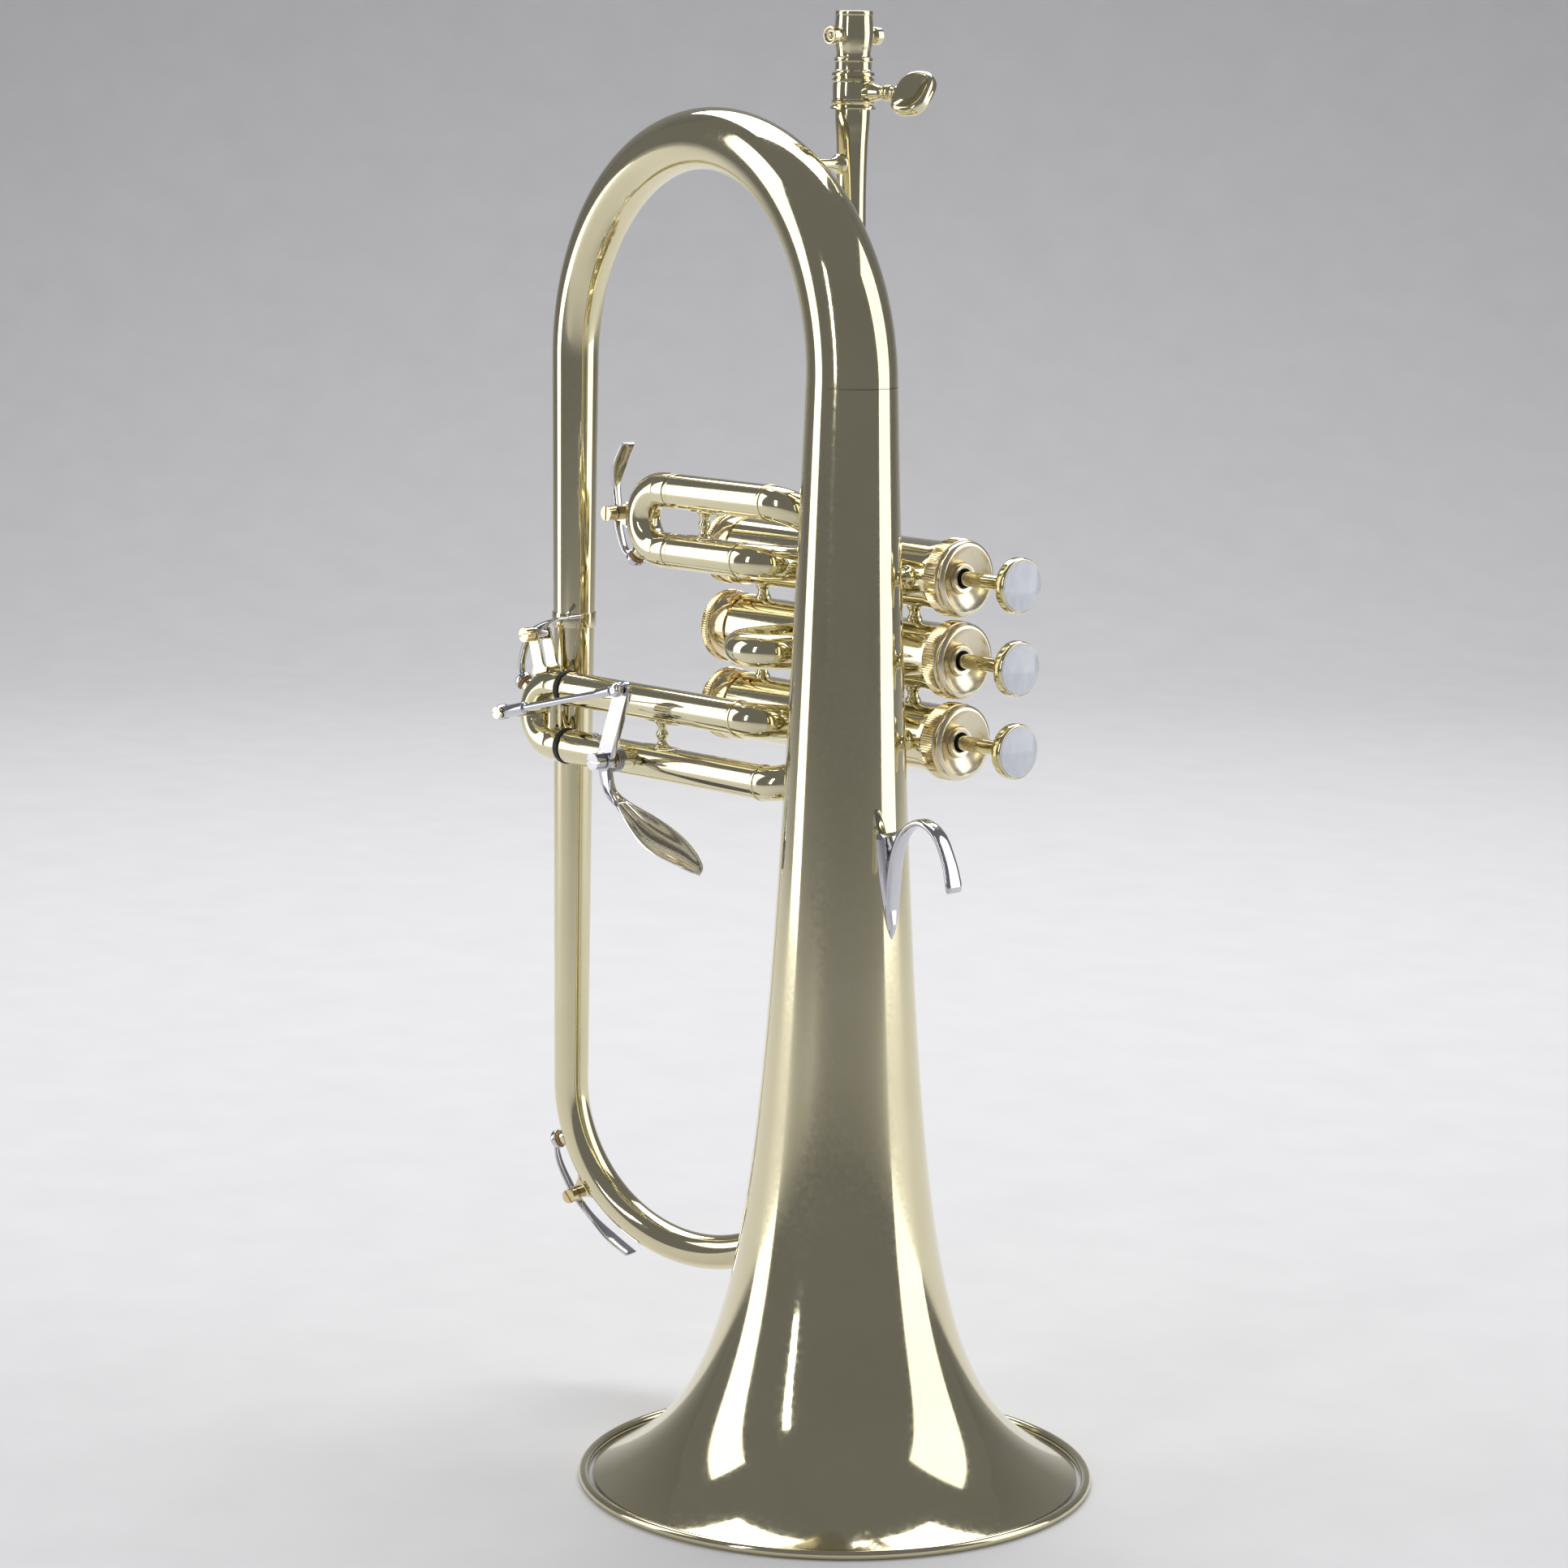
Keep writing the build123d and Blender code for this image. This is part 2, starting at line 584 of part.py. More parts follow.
HOOK_THICK = 1.1
FOOT_LOW_Z = 165.0
FOOT_HIGH_Z = 196.5
FOOT_HALF_WIDTH = 4.8


def pinky_hook():
    """A pointed foot on the bell's button side and an arched strip for the little finger."""
    half, middle_z = FOOT_HALF_WIDTH, (FOOT_LOW_Z + FOOT_HIGH_Z) / 2
    left = ThreePointArc((0, FOOT_LOW_Z), (-half * 0.8, middle_z), (-half, FOOT_HIGH_Z))
    right = ThreePointArc((half, FOOT_HIGH_Z), (half * 0.8, middle_z), (0, FOOT_LOW_Z))
    top = Line((-half, FOOT_HIGH_Z), (half, FOOT_HIGH_Z))
    leaf = extrude(Plane.YZ * make_face(Curve() + [left, top, right]), 24)
    skin = bell_core(1.5) - bell_core(SOLDER_GAP)
    foot = (leaf & skin).solids().sort_by(Axis.X)[-1]
    path = Spline((19.6, 0, 176), (21.4, 0, 190), (31.5, 0, 201.2), (41.8, 0, 192.9), (44.8, 0, 182.6))
    start = Plane(origin=path @ 0, z_dir=path % 0, x_dir=(0, 1, 0))
    strip = sweep(start * RectangleRounded(5.2, 2 * HOOK_THICK, 0.9), path=path) - bell_core(SOLDER_GAP)
    return foot + strip.solids().sort_by(Axis.X)[-1]


# ---- water keys ----
# Each key is drawn in a frame of its own: X along the tube towards the thumb plate, Z out of the tube.
EAR_OUT = 3.2
EAR_IN = 2.15
NIPPLE_RISE = 2.0
CORK_THICK = 1.7
CORK_R = 2.3
CUP_R = 3.0
BAR_WIDTH = 3.0
BAR_THICK = 1.3


def key_saddle(key, tube):
    """Two ears on a foot, and the nipple that the cork closes, all on one tube."""
    pivot = key["pivot"]
    inside = block(-5, 5, -EAR_IN, EAR_IN, 1.0, pivot + 4)
    ears = block(-2.2, 2.2, -EAR_OUT, EAR_OUT, -2.5, pivot)
    ears += rod((0, -EAR_OUT, pivot), (0, EAR_OUT, pivot), 2.2)
    ears -= inside + rod((0, -5, pivot), (0, 5, pivot), 1.0)
    foot = block(-4.2, 4.2, -2.2, 2.2, -2.5, 0.7)
    nipple = hollow_rod((0, 0, -3), (0, 0, NIPPLE_RISE), 2.6, 1.3)
    found = [key["place"] * (ears + foot) - tube, key["nipple"] * nipple - tube]
    return [max(item.solids(), key=lambda s: s.volume) for item in found]


def key_screw(key):
    """The slotted screw that a key turns on."""
    side, pivot = key["head_side"], key["pivot"]
    shaft = rod((0, -EAR_OUT - 0.5, pivot), (0, EAR_OUT + 0.5, pivot), 0.95)
    head = rod((0, side * (EAR_OUT + 0.1), pivot), (0, side * (EAR_OUT + 3.4), pivot), 2.2)
    slot = Pos(0, side * (EAR_OUT + 3.4), pivot) * Box(6, 2, 0.7)
    return key["place"] * (shaft + head - slot)


def key_lever(key):
    """A bent bar from the cork's cup over the pivot to a thumb plate."""
    pivot = key["pivot"]
    points = [(x, 0, z) for x, z in key["bar"]]
    path = Spline(*points)
    start = Plane(origin=path @ 0, z_dir=path % 0, x_dir=(0, 1, 0))
    barrel = rod((0, -EAR_IN + 0.1, pivot), (0, EAR_IN - 0.1, pivot), 2.0)
    (x0, _, z0), (x1, _, z1) = points[-2], points[-1]
    middle = ((x0 + x1) / 2 + 0.6, 0, (z0 + z1) / 2)
    plate = Plane(origin=middle, x_dir=(x1 - x0, 0, z1 - z0), z_dir=(z0 - z1, 0, x1 - x0))
    thumb = extrude(plate * SlotOverall(hypot(x1 - x0, z1 - z0) + 2, 6.0), 0.6, both=True)
    cup = key["nipple"] * rod((0, 0, NIPPLE_RISE + 0.6), (0, 0, NIPPLE_RISE + 3.1), CUP_R)
    seat = key["nipple"] * rod((0, 0, 0), (0, 0, NIPPLE_RISE + CORK_THICK + 0.07), CORK_R + 0.03)
    arm = sweep(start * RectangleRounded(BAR_WIDTH, BAR_THICK, 0.5), path=path) + barrel + thumb
    arm -= rod((0, -3, pivot), (0, 3, pivot), 1.0)
    return key["place"] * arm + cup - seat


def key_cork(key):
    return key["nipple"] * rod((0, 0, NIPPLE_RISE + 0.05), (0, 0, NIPPLE_RISE + 0.05 + CORK_THICK), CORK_R)


def on_bend(centre, radius, along, turn):
    """A frame on the outside of a vertical bend, turn degrees above the direction along."""
    angle = radians(turn)
    out = Vector(*along) * cos(angle) + Vector(0, 0, sin(angle))
    ahead = Vector(*along) * sin(angle) - Vector(0, 0, cos(angle))
    return Plane(origin=Vector(*centre) + out * radius, x_dir=ahead, z_dir=out).location


def make_key(centre, radius, along, turn, cork_turn, head_side, pivot, bar):
    """Gather one key's frames: the pivot is at turn and the cork at cork_turn, in degrees."""
    place, nipple = on_bend(centre, radius, along, turn), on_bend(centre, radius, along, cork_turn)
    return {"place": place, "nipple": nipple, "head_side": head_side, "pivot": pivot, "bar": bar}


def crook_centre(bend_x, legs_z):
    return (bend_x, SLIDE_Y, sum(legs_z) / 2)


FIRST_BAR = [(-13.9, -1.8), (-10.6, 3.0), (-3.5, 6.1), (1.5, 6.6), (8.0, 7.4), (14.5, 6.0), (21.0, 2.6)]
THIRD_BAR = [(-12.4, -0.8), (-10.9, 5.0), (-4.6, 12.0), (1.5, 13.6), (8.0, 13.9), (12.5, 13.7), (18.0, 13.0)]
BOW_BAR = [(-18.2, 1.5), (-12.0, 4.6), (-4.0, 6.0), (1.5, 6.2), (9.0, 5.2), (17.5, 3.0), (25.5, -0.2)]


def all_keys():
    centre, radius, ahead = bottom_frame()
    back = (-ahead.X, -ahead.Y, 0)
    outside = CROOK_R + TUBE_R
    first, third = crook_centre(FIRST_BEND_X, FIRST_Z), crook_centre(THIRD_BEND_X, THIRD_Z)
    return {
        "first": make_key(first, outside, (1, 0, 0), 178.0, 226.0, -1, 4.4, FIRST_BAR),
        "third": make_key(third, outside, (1, 0, 0), 107.4, 150.0, -1, 11.5, THIRD_BAR),
        "bow": make_key(tuple(centre), radius + BOTTOM_TUBE_R, back, -39.1, -21.1, 1, 4.2, BOW_BAR),
    }


# ---- trigger of the third slide ----
def trigger_post():
    x, z = TRIGGER_PIVOT
    post = frustum((x, SLIDE_Y - 4.2, z), (x, -13.9, z), 3.6, 2.1)
    post -= rod((x - 9, SLIDE_Y, THIRD_Z[1]), (x + 9, SLIDE_Y, THIRD_Z[1]), TUBE_R + SOLDER_GAP)
    return post - rod((x, -9, z), (x, -15, z), 1.22)


def trigger_screw():
    x, z = TRIGGER_PIVOT
    head = rod((x, -16.35, z), (x, -20.2, z), 2.6) - block(x - 3, x + 3, -21, -19.4, z - 0.35, z + 0.35)
    return head + rod((x, -9.2, z), (x, -16.4, z), 1.2)


def lever_arm(x0, z0, x1, z1, width):
    """A flat bar in the lever's plane with round ends."""
    length = hypot(x1 - x0, z1 - z0)
    middle = ((x0 + x1) / 2, LEVER_Y, (z0 + z1) / 2)
    arm = Plane(origin=middle, x_dir=(x1 - x0, 0, z1 - z0), z_dir=(0, -1, 0))
    return extrude(arm * SlotOverall(length + width, width), 1.1, both=True)


SPOON_TOP = (-86.2, 195.3)
SPOON_TIP = (-46.1, 175.8)
SPOON_HALF_WIDTH = 7.0


def trigger_lever():
    """A flat arm with the rod's eye above the pivot, and a leaf for the thumb below it."""
    px, pz = TRIGGER_PIVOT
    ex, ez = TRIGGER_EYE
    arm = lever_arm(px, pz, ex, ez, 5.8) + lever_arm(px, pz, *SPOON_TOP, 5.6)
    arm += rod((px, -16.2, pz), (px, -14.0, pz), 3.6)
    arm -= rod((px, -18, pz), (px, -12, pz), 1.25) + rod((ex, -18, ez), (ex, -12, ez), 1.95)
    sx, sz = SPOON_TOP
    tx, tz = SPOON_TIP
    length = hypot(tx - sx, tz - sz)
    leaf = Plane(origin=(sx, LEVER_Y, sz), x_dir=(tx - sx, 0, tz - sz), z_dir=(sz - tz, 0, tx - sx))
    side = [(length * 0.3, 4.6), (length * 0.65, SPOON_HALF_WIDTH), (length * 0.93, 4.4)]
    mirrored = [(along, -half) for along, half in reversed(side)]
    outline = Spline((-2, 0), *side, (length, 0), *mirrored, periodic=True)
    return arm + extrude(leaf * make_face(outline), 0.9, both=True)


def trigger_spring():
    """The torsion spring: a coil on its post, and a short leg that ends in a small loop."""
    x, z = TRIGGER_PIVOT
    wire, radius, near, far = 0.32, 3.6, -13.0, -9.7
    turns = Pos(x, far, z) * Rot(90, 0, 0) * coil(far - near, radius, wire, 4)
    start, loop = Vector(x - radius * 0.6, near, z + radius * 0.8), Vector(x - 6.2, near, z + 5.6)
    leg = rod(start, loop, wire)
    return turns + leg + Pos(*loop) * Pos(-0.6, 0, 0.7) * Rot(90, 0, 0) * Torus(1.0, wire)


def trigger_bracket():
    """The bar between the legs of the crook, and the stud that the rod turns on."""
    x, z = ROD_ANCHOR
    high, low = THIRD_Z
    bar_x = THIRD_BEND_X - 0.5
    bar_post = rod((bar_x, SLIDE_Y, low), (bar_x, SLIDE_Y, high), 2.2)
    stud = rod((x, SLIDE_Y, z), (x, -16.6, z), 2.0) + rod((x, -16.6, z), (x, -19.7, z), 1.0)
    stud += rod((x, -19.7, z), (x, -21.0, z), 1.8) - block(x - 3, x + 3, -22, -20.4, z - 0.3, z + 0.3)
    return bar_post + stud - crook(THIRD_BEND_X, THIRD_FACE, THIRD_Z, 0)


PIN_R = 0.8
SLEEVE_LENGTH = 11.5         # the threaded end of the rod


def trigger_rod():
    """The link from the slide's bracket to the lever's eye."""
    ax, az = ROD_ANCHOR
    ex, ez = TRIGGER_EYE[0], TRIGGER_EYE[1] + PIN_RISE
    start, ahead = Vector(ax, ROD_Y, az), Vector(ex - ax, 0, ez - az).normalized()
    link = rod(start, (ex, ROD_Y, ez), 1.1) + rod(start + ahead * 2.6, start + ahead * SLEEVE_LENGTH, 1.9)
    link += rod((ax, -19.4, az), (ax, -17.0, az), 2.5) + rod((ex, -19.6, ez), (ex, -16.6, ez), 2.3)
    link -= rod((ax, -25, az), (ax, -12, az), 1.05)
    return link + rod((ex, -17, ez), (ex, -13.6, ez), PIN_R)


# ---- the nodes ----
keep("bell", bell())
keep("bell_rim_bead", rim_bead(BEAD_R))
keep("bell_bow", bell_bow())
keep("tail_ferrule", tail_ferrule())
keep("bottom_bow", bottom_bow())
keep("casing_links", *casing_bridges(), *valve_crossovers())
keep("top_caps", *[top_cap(z) for z in VALVE_Z])
keep("bottom_caps", *[bottom_cap(z) for z in VALVE_Z])
keep("stem_felts", *[stem_felt(z) for z in VALVE_Z])
keep("valve_springs", *[valve_spring(z) for z in VALVE_Z])
for number, height in enumerate(VALVE_Z, 1):
    keep(f"valve_casing_{number}", valve_casing(number - 1))
    keep(f"piston_{number}", piston(number - 1))
    keep(f"valve_stem_{number}", valve_stem(height))
    keep(f"finger_button_{number}", finger_button(height))
    keep(f"button_pearl_{number}", button_pearl(height))
keep("first_slide_sleeves", *first_slide_sleeves())
keep("second_slide_sleeves", *second_slide_sleeves())
keep("third_slide_sleeves", *third_slide_sleeves())
keep("first_slide_crook", crook(FIRST_BEND_X, FIRST_FACE, FIRST_Z, WINDWAY_R))
keep("first_slide_legs", *inner_legs(FIRST_FACE, (-36.0, -48.0), FIRST_Z))
keep("second_slide_crook", second_crook())
keep("second_slide_legs", *second_inner_legs())
keep("third_slide_crook", crook(THIRD_BEND_X, THIRD_FACE, THIRD_Z, WINDWAY_R))
keep("third_slide_legs", *inner_legs(THIRD_FACE, (-72.0, -72.0), THIRD_Z))
keep("third_slide_o_rings", *[oring(z) for z in THIRD_Z])
keep("leadpipe", leadpipe())
keep("mouthpiece_receiver", mouthpiece_receiver())
keep("pull_knobs", pull_knob(-1), pull_knob(1))
keep("leadpipe_clamp", leadpipe_clamp())
keep("clamp_screw", clamp_screw())
slide_braces = [slide_brace(FIRST_BRACE_X, FIRST_Z), slide_brace(THIRD_BRACE_X, THIRD_Z)]
keep("tube_braces", *slide_braces, bell_brace(0), bell_brace(2), leadpipe_brace())
keep("pinky_hook", pinky_hook())
tubes = {
    "first": crook(FIRST_BEND_X, FIRST_FACE, FIRST_Z, 0),
    "third": crook(THIRD_BEND_X, THIRD_FACE, THIRD_Z, 0),
    "bow": bottom_bend(BOTTOM_TUBE_R, 0),
}
for name, key in all_keys().items():
    keep(f"{name}_key_saddle", *key_saddle(key, tubes[name]))
    keep(f"{name}_key_screw", key_screw(key))
    keep(f"{name}_key_lever", key_lever(key))
    keep(f"{name}_key_cork", key_cork(key))
keep("trigger_post", trigger_post())
keep("trigger_screw", trigger_screw())
keep("trigger_spring", trigger_spring())
keep("trigger_lever", trigger_lever())
keep("trigger_bracket", trigger_bracket())
keep("trigger_rod", trigger_rod())

os.makedirs("parts", exist_ok=True)
for name, shape in parts.items():
    export_step(shape, f"parts/{name}.step")
print(len(parts), "nodes")
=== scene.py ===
import json
import math
import bpy
import bmesh
from mathutils import Matrix, Vector


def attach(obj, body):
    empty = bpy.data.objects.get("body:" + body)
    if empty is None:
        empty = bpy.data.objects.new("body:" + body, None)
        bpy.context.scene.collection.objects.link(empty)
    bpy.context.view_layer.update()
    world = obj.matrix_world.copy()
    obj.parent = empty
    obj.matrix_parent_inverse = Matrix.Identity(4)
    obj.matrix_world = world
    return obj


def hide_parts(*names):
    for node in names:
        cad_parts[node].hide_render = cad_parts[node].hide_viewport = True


# A flugelhorn standing on its bell. Sizes are in millimetres here and become metres in a piece's mesh.
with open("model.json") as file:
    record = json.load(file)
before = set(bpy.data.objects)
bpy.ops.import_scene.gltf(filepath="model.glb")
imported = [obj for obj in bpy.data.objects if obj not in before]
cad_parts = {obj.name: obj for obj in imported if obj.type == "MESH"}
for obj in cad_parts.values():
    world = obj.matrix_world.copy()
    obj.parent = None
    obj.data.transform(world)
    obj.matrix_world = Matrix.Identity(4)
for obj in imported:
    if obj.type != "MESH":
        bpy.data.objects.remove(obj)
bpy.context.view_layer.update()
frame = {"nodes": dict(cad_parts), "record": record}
MM = 0.001

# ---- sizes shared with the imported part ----
BOW_Z = 323.0
TAIL = (-136.0, 12.4)
BLOCK_X, BLOCK_Y = -41.5, 38.5
SLIDE_Y = -0.5
VALVE_Z = (266.0, 241.8, 217.6)
TUBE_R = 5.3
CROOK_R = 9.0
FIRST_Z, THIRD_Z = (287.0, 269.0), (222.0, 204.0)
FIRST_ELBOW_X, THIRD_ELBOW_X = (-24.3, -36.2), (-36.0, -25.3)
SECOND_X = (-55.0, -37.0)
BOTTOM_Z = 94.6
FERRULE_Z = 240.4
CASING_R = 10.2
FIRST_BEND_X, THIRD_BEND_X = -80.0, -129.5
SLEEVE_R, SLIDE_R = 5.22, 5.18
LEVER_Y = -15.1
VIEW_YAW, VIEW_PITCH, VIEW_ROLL = (math.radians(a) for a in (46.81, 9.433, 0.796))
VIEW_FROM, VIEW_LENS = (0.910, -0.8787, 0.418), 101.74
TINY, STRAIGHT = 1e-6, 0.985


# ---- materials ----
def set_input(shader, name, value):
    shader.inputs[name].default_value = value


def noise(tree, scale, detail, stretch=(1, 1, 1), rough=0.5):
    place = tree.nodes.new("ShaderNodeTexCoord")
    mapping = tree.nodes.new("ShaderNodeMapping")
    mapping.inputs["Scale"].default_value = stretch
    texture = tree.nodes.new("ShaderNodeTexNoise")
    texture.inputs["Scale"].default_value = scale
    texture.inputs["Detail"].default_value = detail
    texture.inputs["Roughness"].default_value = rough
    tree.links.new(place.outputs["Object"], mapping.inputs["Vector"])
    tree.links.new(mapping.outputs["Vector"], texture.inputs["Vector"])
    return texture.outputs["Fac"]


def ramp(tree, fac, low, high, at=(0.3, 0.7)):
    """Blend between two colours, or two grey levels, by a texture."""
    node = tree.nodes.new("ShaderNodeValToRGB")
    for stop, value, where in zip(node.color_ramp.elements, (low, high), at):
        stop.position = where
        stop.color = (*value, 1) if isinstance(value, tuple) else (value, value, value, 1)
    tree.links.new(fac, node.inputs["Fac"])
    return node.outputs["Color"]


def bumped(tree, shader, height, strength, distance=0.0002):
    node = tree.nodes.new("ShaderNodeBump")
    node.inputs["Strength"].default_value = strength
    node.inputs["Distance"].default_value = distance
    tree.links.new(height, node.inputs["Height"])
    tree.links.new(node.outputs["Normal"], shader.inputs["Normal"])


def material(name):
    made = bpy.data.materials.new(name)
    made.use_nodes = True
    return made, made.node_tree, made.node_tree.nodes["Principled BSDF"]


def metal(name, dark, light, rough, wear=0.02, stretch=(1, 1, 1), coat=0.0):
    """A polished metal whose tint, polish and surface vary a little from place to place."""
    made, tree, shader = material(name)
    set_input(shader, "Metallic", 1.0)
    cloud = noise(tree, 38.0, 5.0, stretch)
    fine = noise(tree, 620.0, 3.0, stretch)
    tree.links.new(ramp(tree, cloud, dark, light), shader.inputs["Base Color"])
    tree.links.new(ramp(tree, fine, rough, rough + 0.06), shader.inputs["Roughness"])
    bumped(tree, shader, noise(tree, 90.0, 2.0, stretch), wear)
    if coat:
        set_input(shader, "Coat Weight", coat)
        set_input(shader, "Coat Roughness", 0.03)
        set_input(shader, "Coat Tint", (1.0, 0.98, 0.92, 1.0))
    return made


def pearl():
    made, tree, shader = material("pearl")
    swirl = noise(tree, 260.0, 4.0, (1, 1.6, 1))
    tree.links.new(ramp(tree, swirl, (0.72, 0.77, 0.86), (0.85, 0.88, 0.93)), shader.inputs["Base Color"])
    set_input(shader, "Roughness", 0.12)
    set_input(shader, "Coat Weight", 0.6)
    set_input(shader, "Sheen Weight", 0.15)
    bumped(tree, shader, swirl, 0.05)
    return made


def matte(name, dark, light, scale, rough, strength):
    made, tree, shader = material(name)
    grain = noise(tree, scale, 8.0)
    tree.links.new(ramp(tree, grain, dark, light), shader.inputs["Base Color"])
    set_input(shader, "Roughness", rough)
    bumped(tree, shader, grain, strength)
    return made


BRASS = metal("lacquered_brass", (0.73, 0.67, 0.45), (0.78, 0.72, 0.50), 0.045, 0.01, coat=0.3)
GOLD = metal("bright_brass", (0.76, 0.63, 0.37), (0.82, 0.69, 0.43), 0.09, 0.02, coat=0.2)
NICKEL = metal("nickel_plate", (0.62, 0.62, 0.66), (0.70, 0.70, 0.74), 0.05, 0.02)
# The caps' dish face: a rougher turned finish, which is real, and a base colour paler than the cap's brass,
# which is painted sheen standing in for the bright surroundings it reflects.
DISH_PAINTED_SHEEN = metal("turned_brass_painted_sheen", (0.80, 0.73, 0.55), (0.86, 0.79, 0.61), 0.22, 0.03)
HONED = metal("honed_nickel_silver", (0.62, 0.60, 0.54), (0.72, 0.70, 0.64), 0.16, 0.05, (0.2, 1, 1))
PISTON = metal("piston_nickel", (0.60, 0.59, 0.56), (0.70, 0.69, 0.66), 0.18, 0.05, (0.2, 1, 1))
STEEL = metal("spring_steel", (0.42, 0.42, 0.44), (0.55, 0.55, 0.57), 0.2, 0.04)
PEARL = pearl()
RUBBER = matte("rubber", (0.012, 0.012, 0.013), (0.03, 0.03, 0.032), 900.0, 0.55, 0.2)
FELT = matte("felt", (0.02, 0.02, 0.025), (0.06, 0.06, 0.07), 2600.0, 0.95, 0.8)
CORK = matte("cork", (0.34, 0.19, 0.09), (0.66, 0.45, 0.26), 1500.0, 0.85, 0.6)
SLOTS = {"lacquered_brass": BRASS, "nickel_plate": NICKEL, "nickel_silver": HONED, "piston_nickel": PISTON,
         "spring_steel": STEEL, "pearl": PEARL, "rubber": RUBBER, "felt": FELT, "cork": CORK}
SLOT_OF = {entry["node"]: entry["material_slot"] for entry in frame["record"]["subparts"]}


# ---- making pieces ----
SHARP = math.radians(38)


def piece(name, parts, body, nodes, finish=None):
    """One object from a list of (points, faces), riding on a body in place of CAD nodes."""
    mesh = bpy.data.meshes.new(name)
    points, faces = [], []
    for new_points, new_faces in parts:
        first = len(points)
        points += [Vector(p) * MM for p in new_points]
        faces += [[first + i for i in face] for face in new_faces]
    mesh.from_pydata(points, [], faces)
    work = bmesh.new()
    work.from_mesh(mesh)
    bmesh.ops.remove_doubles(work, verts=work.verts, dist=1e-7)
    bmesh.ops.dissolve_degenerate(work, edges=work.edges, dist=1e-7)
    bmesh.ops.recalc_face_normals(work, faces=work.faces)
    for face in work.faces:
        face.smooth = True
    for edge in work.edges:
        edge.smooth = len(edge.link_faces) == 2 and edge.calc_face_angle(0) < SHARP
    work.to_mesh(mesh)
    work.free()
    made = bpy.data.objects.new(name, mesh)
    bpy.context.scene.collection.objects.link(made)
    slot = SLOT_OF[nodes[0]]
    mesh.materials.append(finish or SLOTS[slot])
    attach(made, body)
    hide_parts(*nodes)
    return made


def axes_of(axis, hint=None):
    w = Vector(axis).normalized()
    hint = Vector(hint) if hint else (Vector((0, 0, 1)) if abs(w.z) < 0.9 else Vector((1, 0, 0)))
    u = (hint - w * hint.dot(w)).normalized()
    return u, w.cross(u), w


def rounded(points, radius, steps=4):
    """A closed outline of (a, b) with its corners turned to small arcs."""
    out, count = [], len(points)
    for i, point in enumerate(points):
        p, before, after = Vector(point), Vector(points[i - 1]), Vector(points[(i + 1) % count])
        a, b = before - p, after - p
        if a.length < TINY or b.length < TINY or abs(a.normalized().dot(b.normalized())) > STRAIGHT:
            out.append(tuple(point))
            continue
        cut = min(radius, a.length * 0.45, b.length * 0.45)
        start, end = p + a.normalized() * cut, p + b.normalized() * cut
        for k in range(steps + 1):
            t = k / steps
            out.append(tuple(start * (1 - t) ** 2 + p * 2 * t * (1 - t) + end * t * t))
    return out


def lathe(profile, origin, axis, sides=96, knurl=None):
    """Turn an outline of (along, radius). knurl is (low, high, depth): a milled band between two."""
    u, v, w = axes_of(axis)
    origin, count = Vector(origin), len(profile)
    points, faces = [], []
    for along, radius in profile:
        for k in range(sides):
            turn = 2 * math.pi * k / sides
            r = radius - (knurl[2] if knurl and knurl[0] <= along <= knurl[1] and k % 2 else 0)
            points.append(origin + w * along + u * r * math.cos(turn) + v * r * math.sin(turn))
    for i in range(count):
        j = (i + 1) % count
        for k in range(sides):
            m = (k + 1) % sides
            faces.append([i * sides + k, i * sides + m, j * sides + m, j * sides + k])
    return points, faces


def turned(profile, origin, axis, soft=0.3, **more):
    """A lathe whose outline starts and ends on its axis or is a closed ring, with soft corners."""
    return lathe(rounded(profile, soft), origin, axis, **more)


def arc_path(points, bend, step=1.2):
    """Straight runs joined by tangent arcs, as points."""
    points = [Vector(p) for p in points]
    out = [points[0]]
    for before, corner, after in zip(points, points[1:], points[2:]):
        a, b = (before - corner).normalized(), (after - corner).normalized()
        half = a.angle(b) / 2
        cut = bend / math.tan(half)
        centre = corner + (a + b).normalized() * (bend / math.sin(half))
        start, end = corner + a * cut - centre, corner + b * cut - centre
        turn = start.angle(end)
        count = max(4, int(turn * bend / step * 1.5))
        for k in range(count + 1):
            t = k / count
            mix = (start * math.sin((1 - t) * turn) + end * math.sin(t * turn)) / math.sin(turn)
            out.append(centre + mix)
    out.append(points[-1])
    return out


def section(width, height, power, count):
    """A rounded rectangle or ellipse: power 2 is an ellipse, more is squarer."""
    ring = []
    for k in range(count):
        c, s = math.cos(2 * math.pi * k / count), math.sin(2 * math.pi * k / count)
        ring.append((width * abs(c) ** (2 / power) * (1 if c >= 0 else -1),
                     height * abs(s) ** (2 / power) * (1 if s >= 0 else -1)))
    return ring


def skin(bands, sides):
    """The faces between rings of points, for that many bands."""
    faces = []
    for i in range(bands):
        for k in range(sides):
            m = (k + 1) % sides
            faces.append([i * sides + k, i * sides + m, (i + 1) * sides + m, (i + 1) * sides + k])
    return faces


def sheet(rows, columns, first=0):
    """The faces of a grid of points, rows by columns."""
    width, faces = columns + 1, []
    for i in range(rows):
        for k in range(columns):
            a = first + i * width + k
            faces.append([a, a + 1, a + width + 1, a + width])
    return faces


def sweep(path, sizes, sides=64, power=2.0, hint=None):
    """Carry a section along a path. sizes holds a (half width, half thickness) for each point."""
    path = [Vector(p) for p in path]
    last = len(path) - 1
    tangents = [(path[min(i + 1, last)] - path[max(i - 1, 0)]).normalized() for i in range(last + 1)]
    u = axes_of(tangents[0], hint)[0]
    points, faces = [], []
    for i, (p, t) in enumerate(zip(path, tangents)):
        u = Vector(hint) if hint else u
        u = (u - t * u.dot(t)).normalized()
        v = t.cross(u)
        for a, b in section(*sizes[i], power, sides):
            points.append(p + u * a + v * b)
    faces += skin(last, sides)
    faces += [list(range(sides)), list(range(last * sides, (last + 1) * sides))]
    return points, faces


def tube(points, bend, radius, sides=64):
    path = arc_path(points, bend) if len(points) > 2 else [Vector(p) for p in points]
    return sweep(path, [(radius, radius)] * len(path), sides)


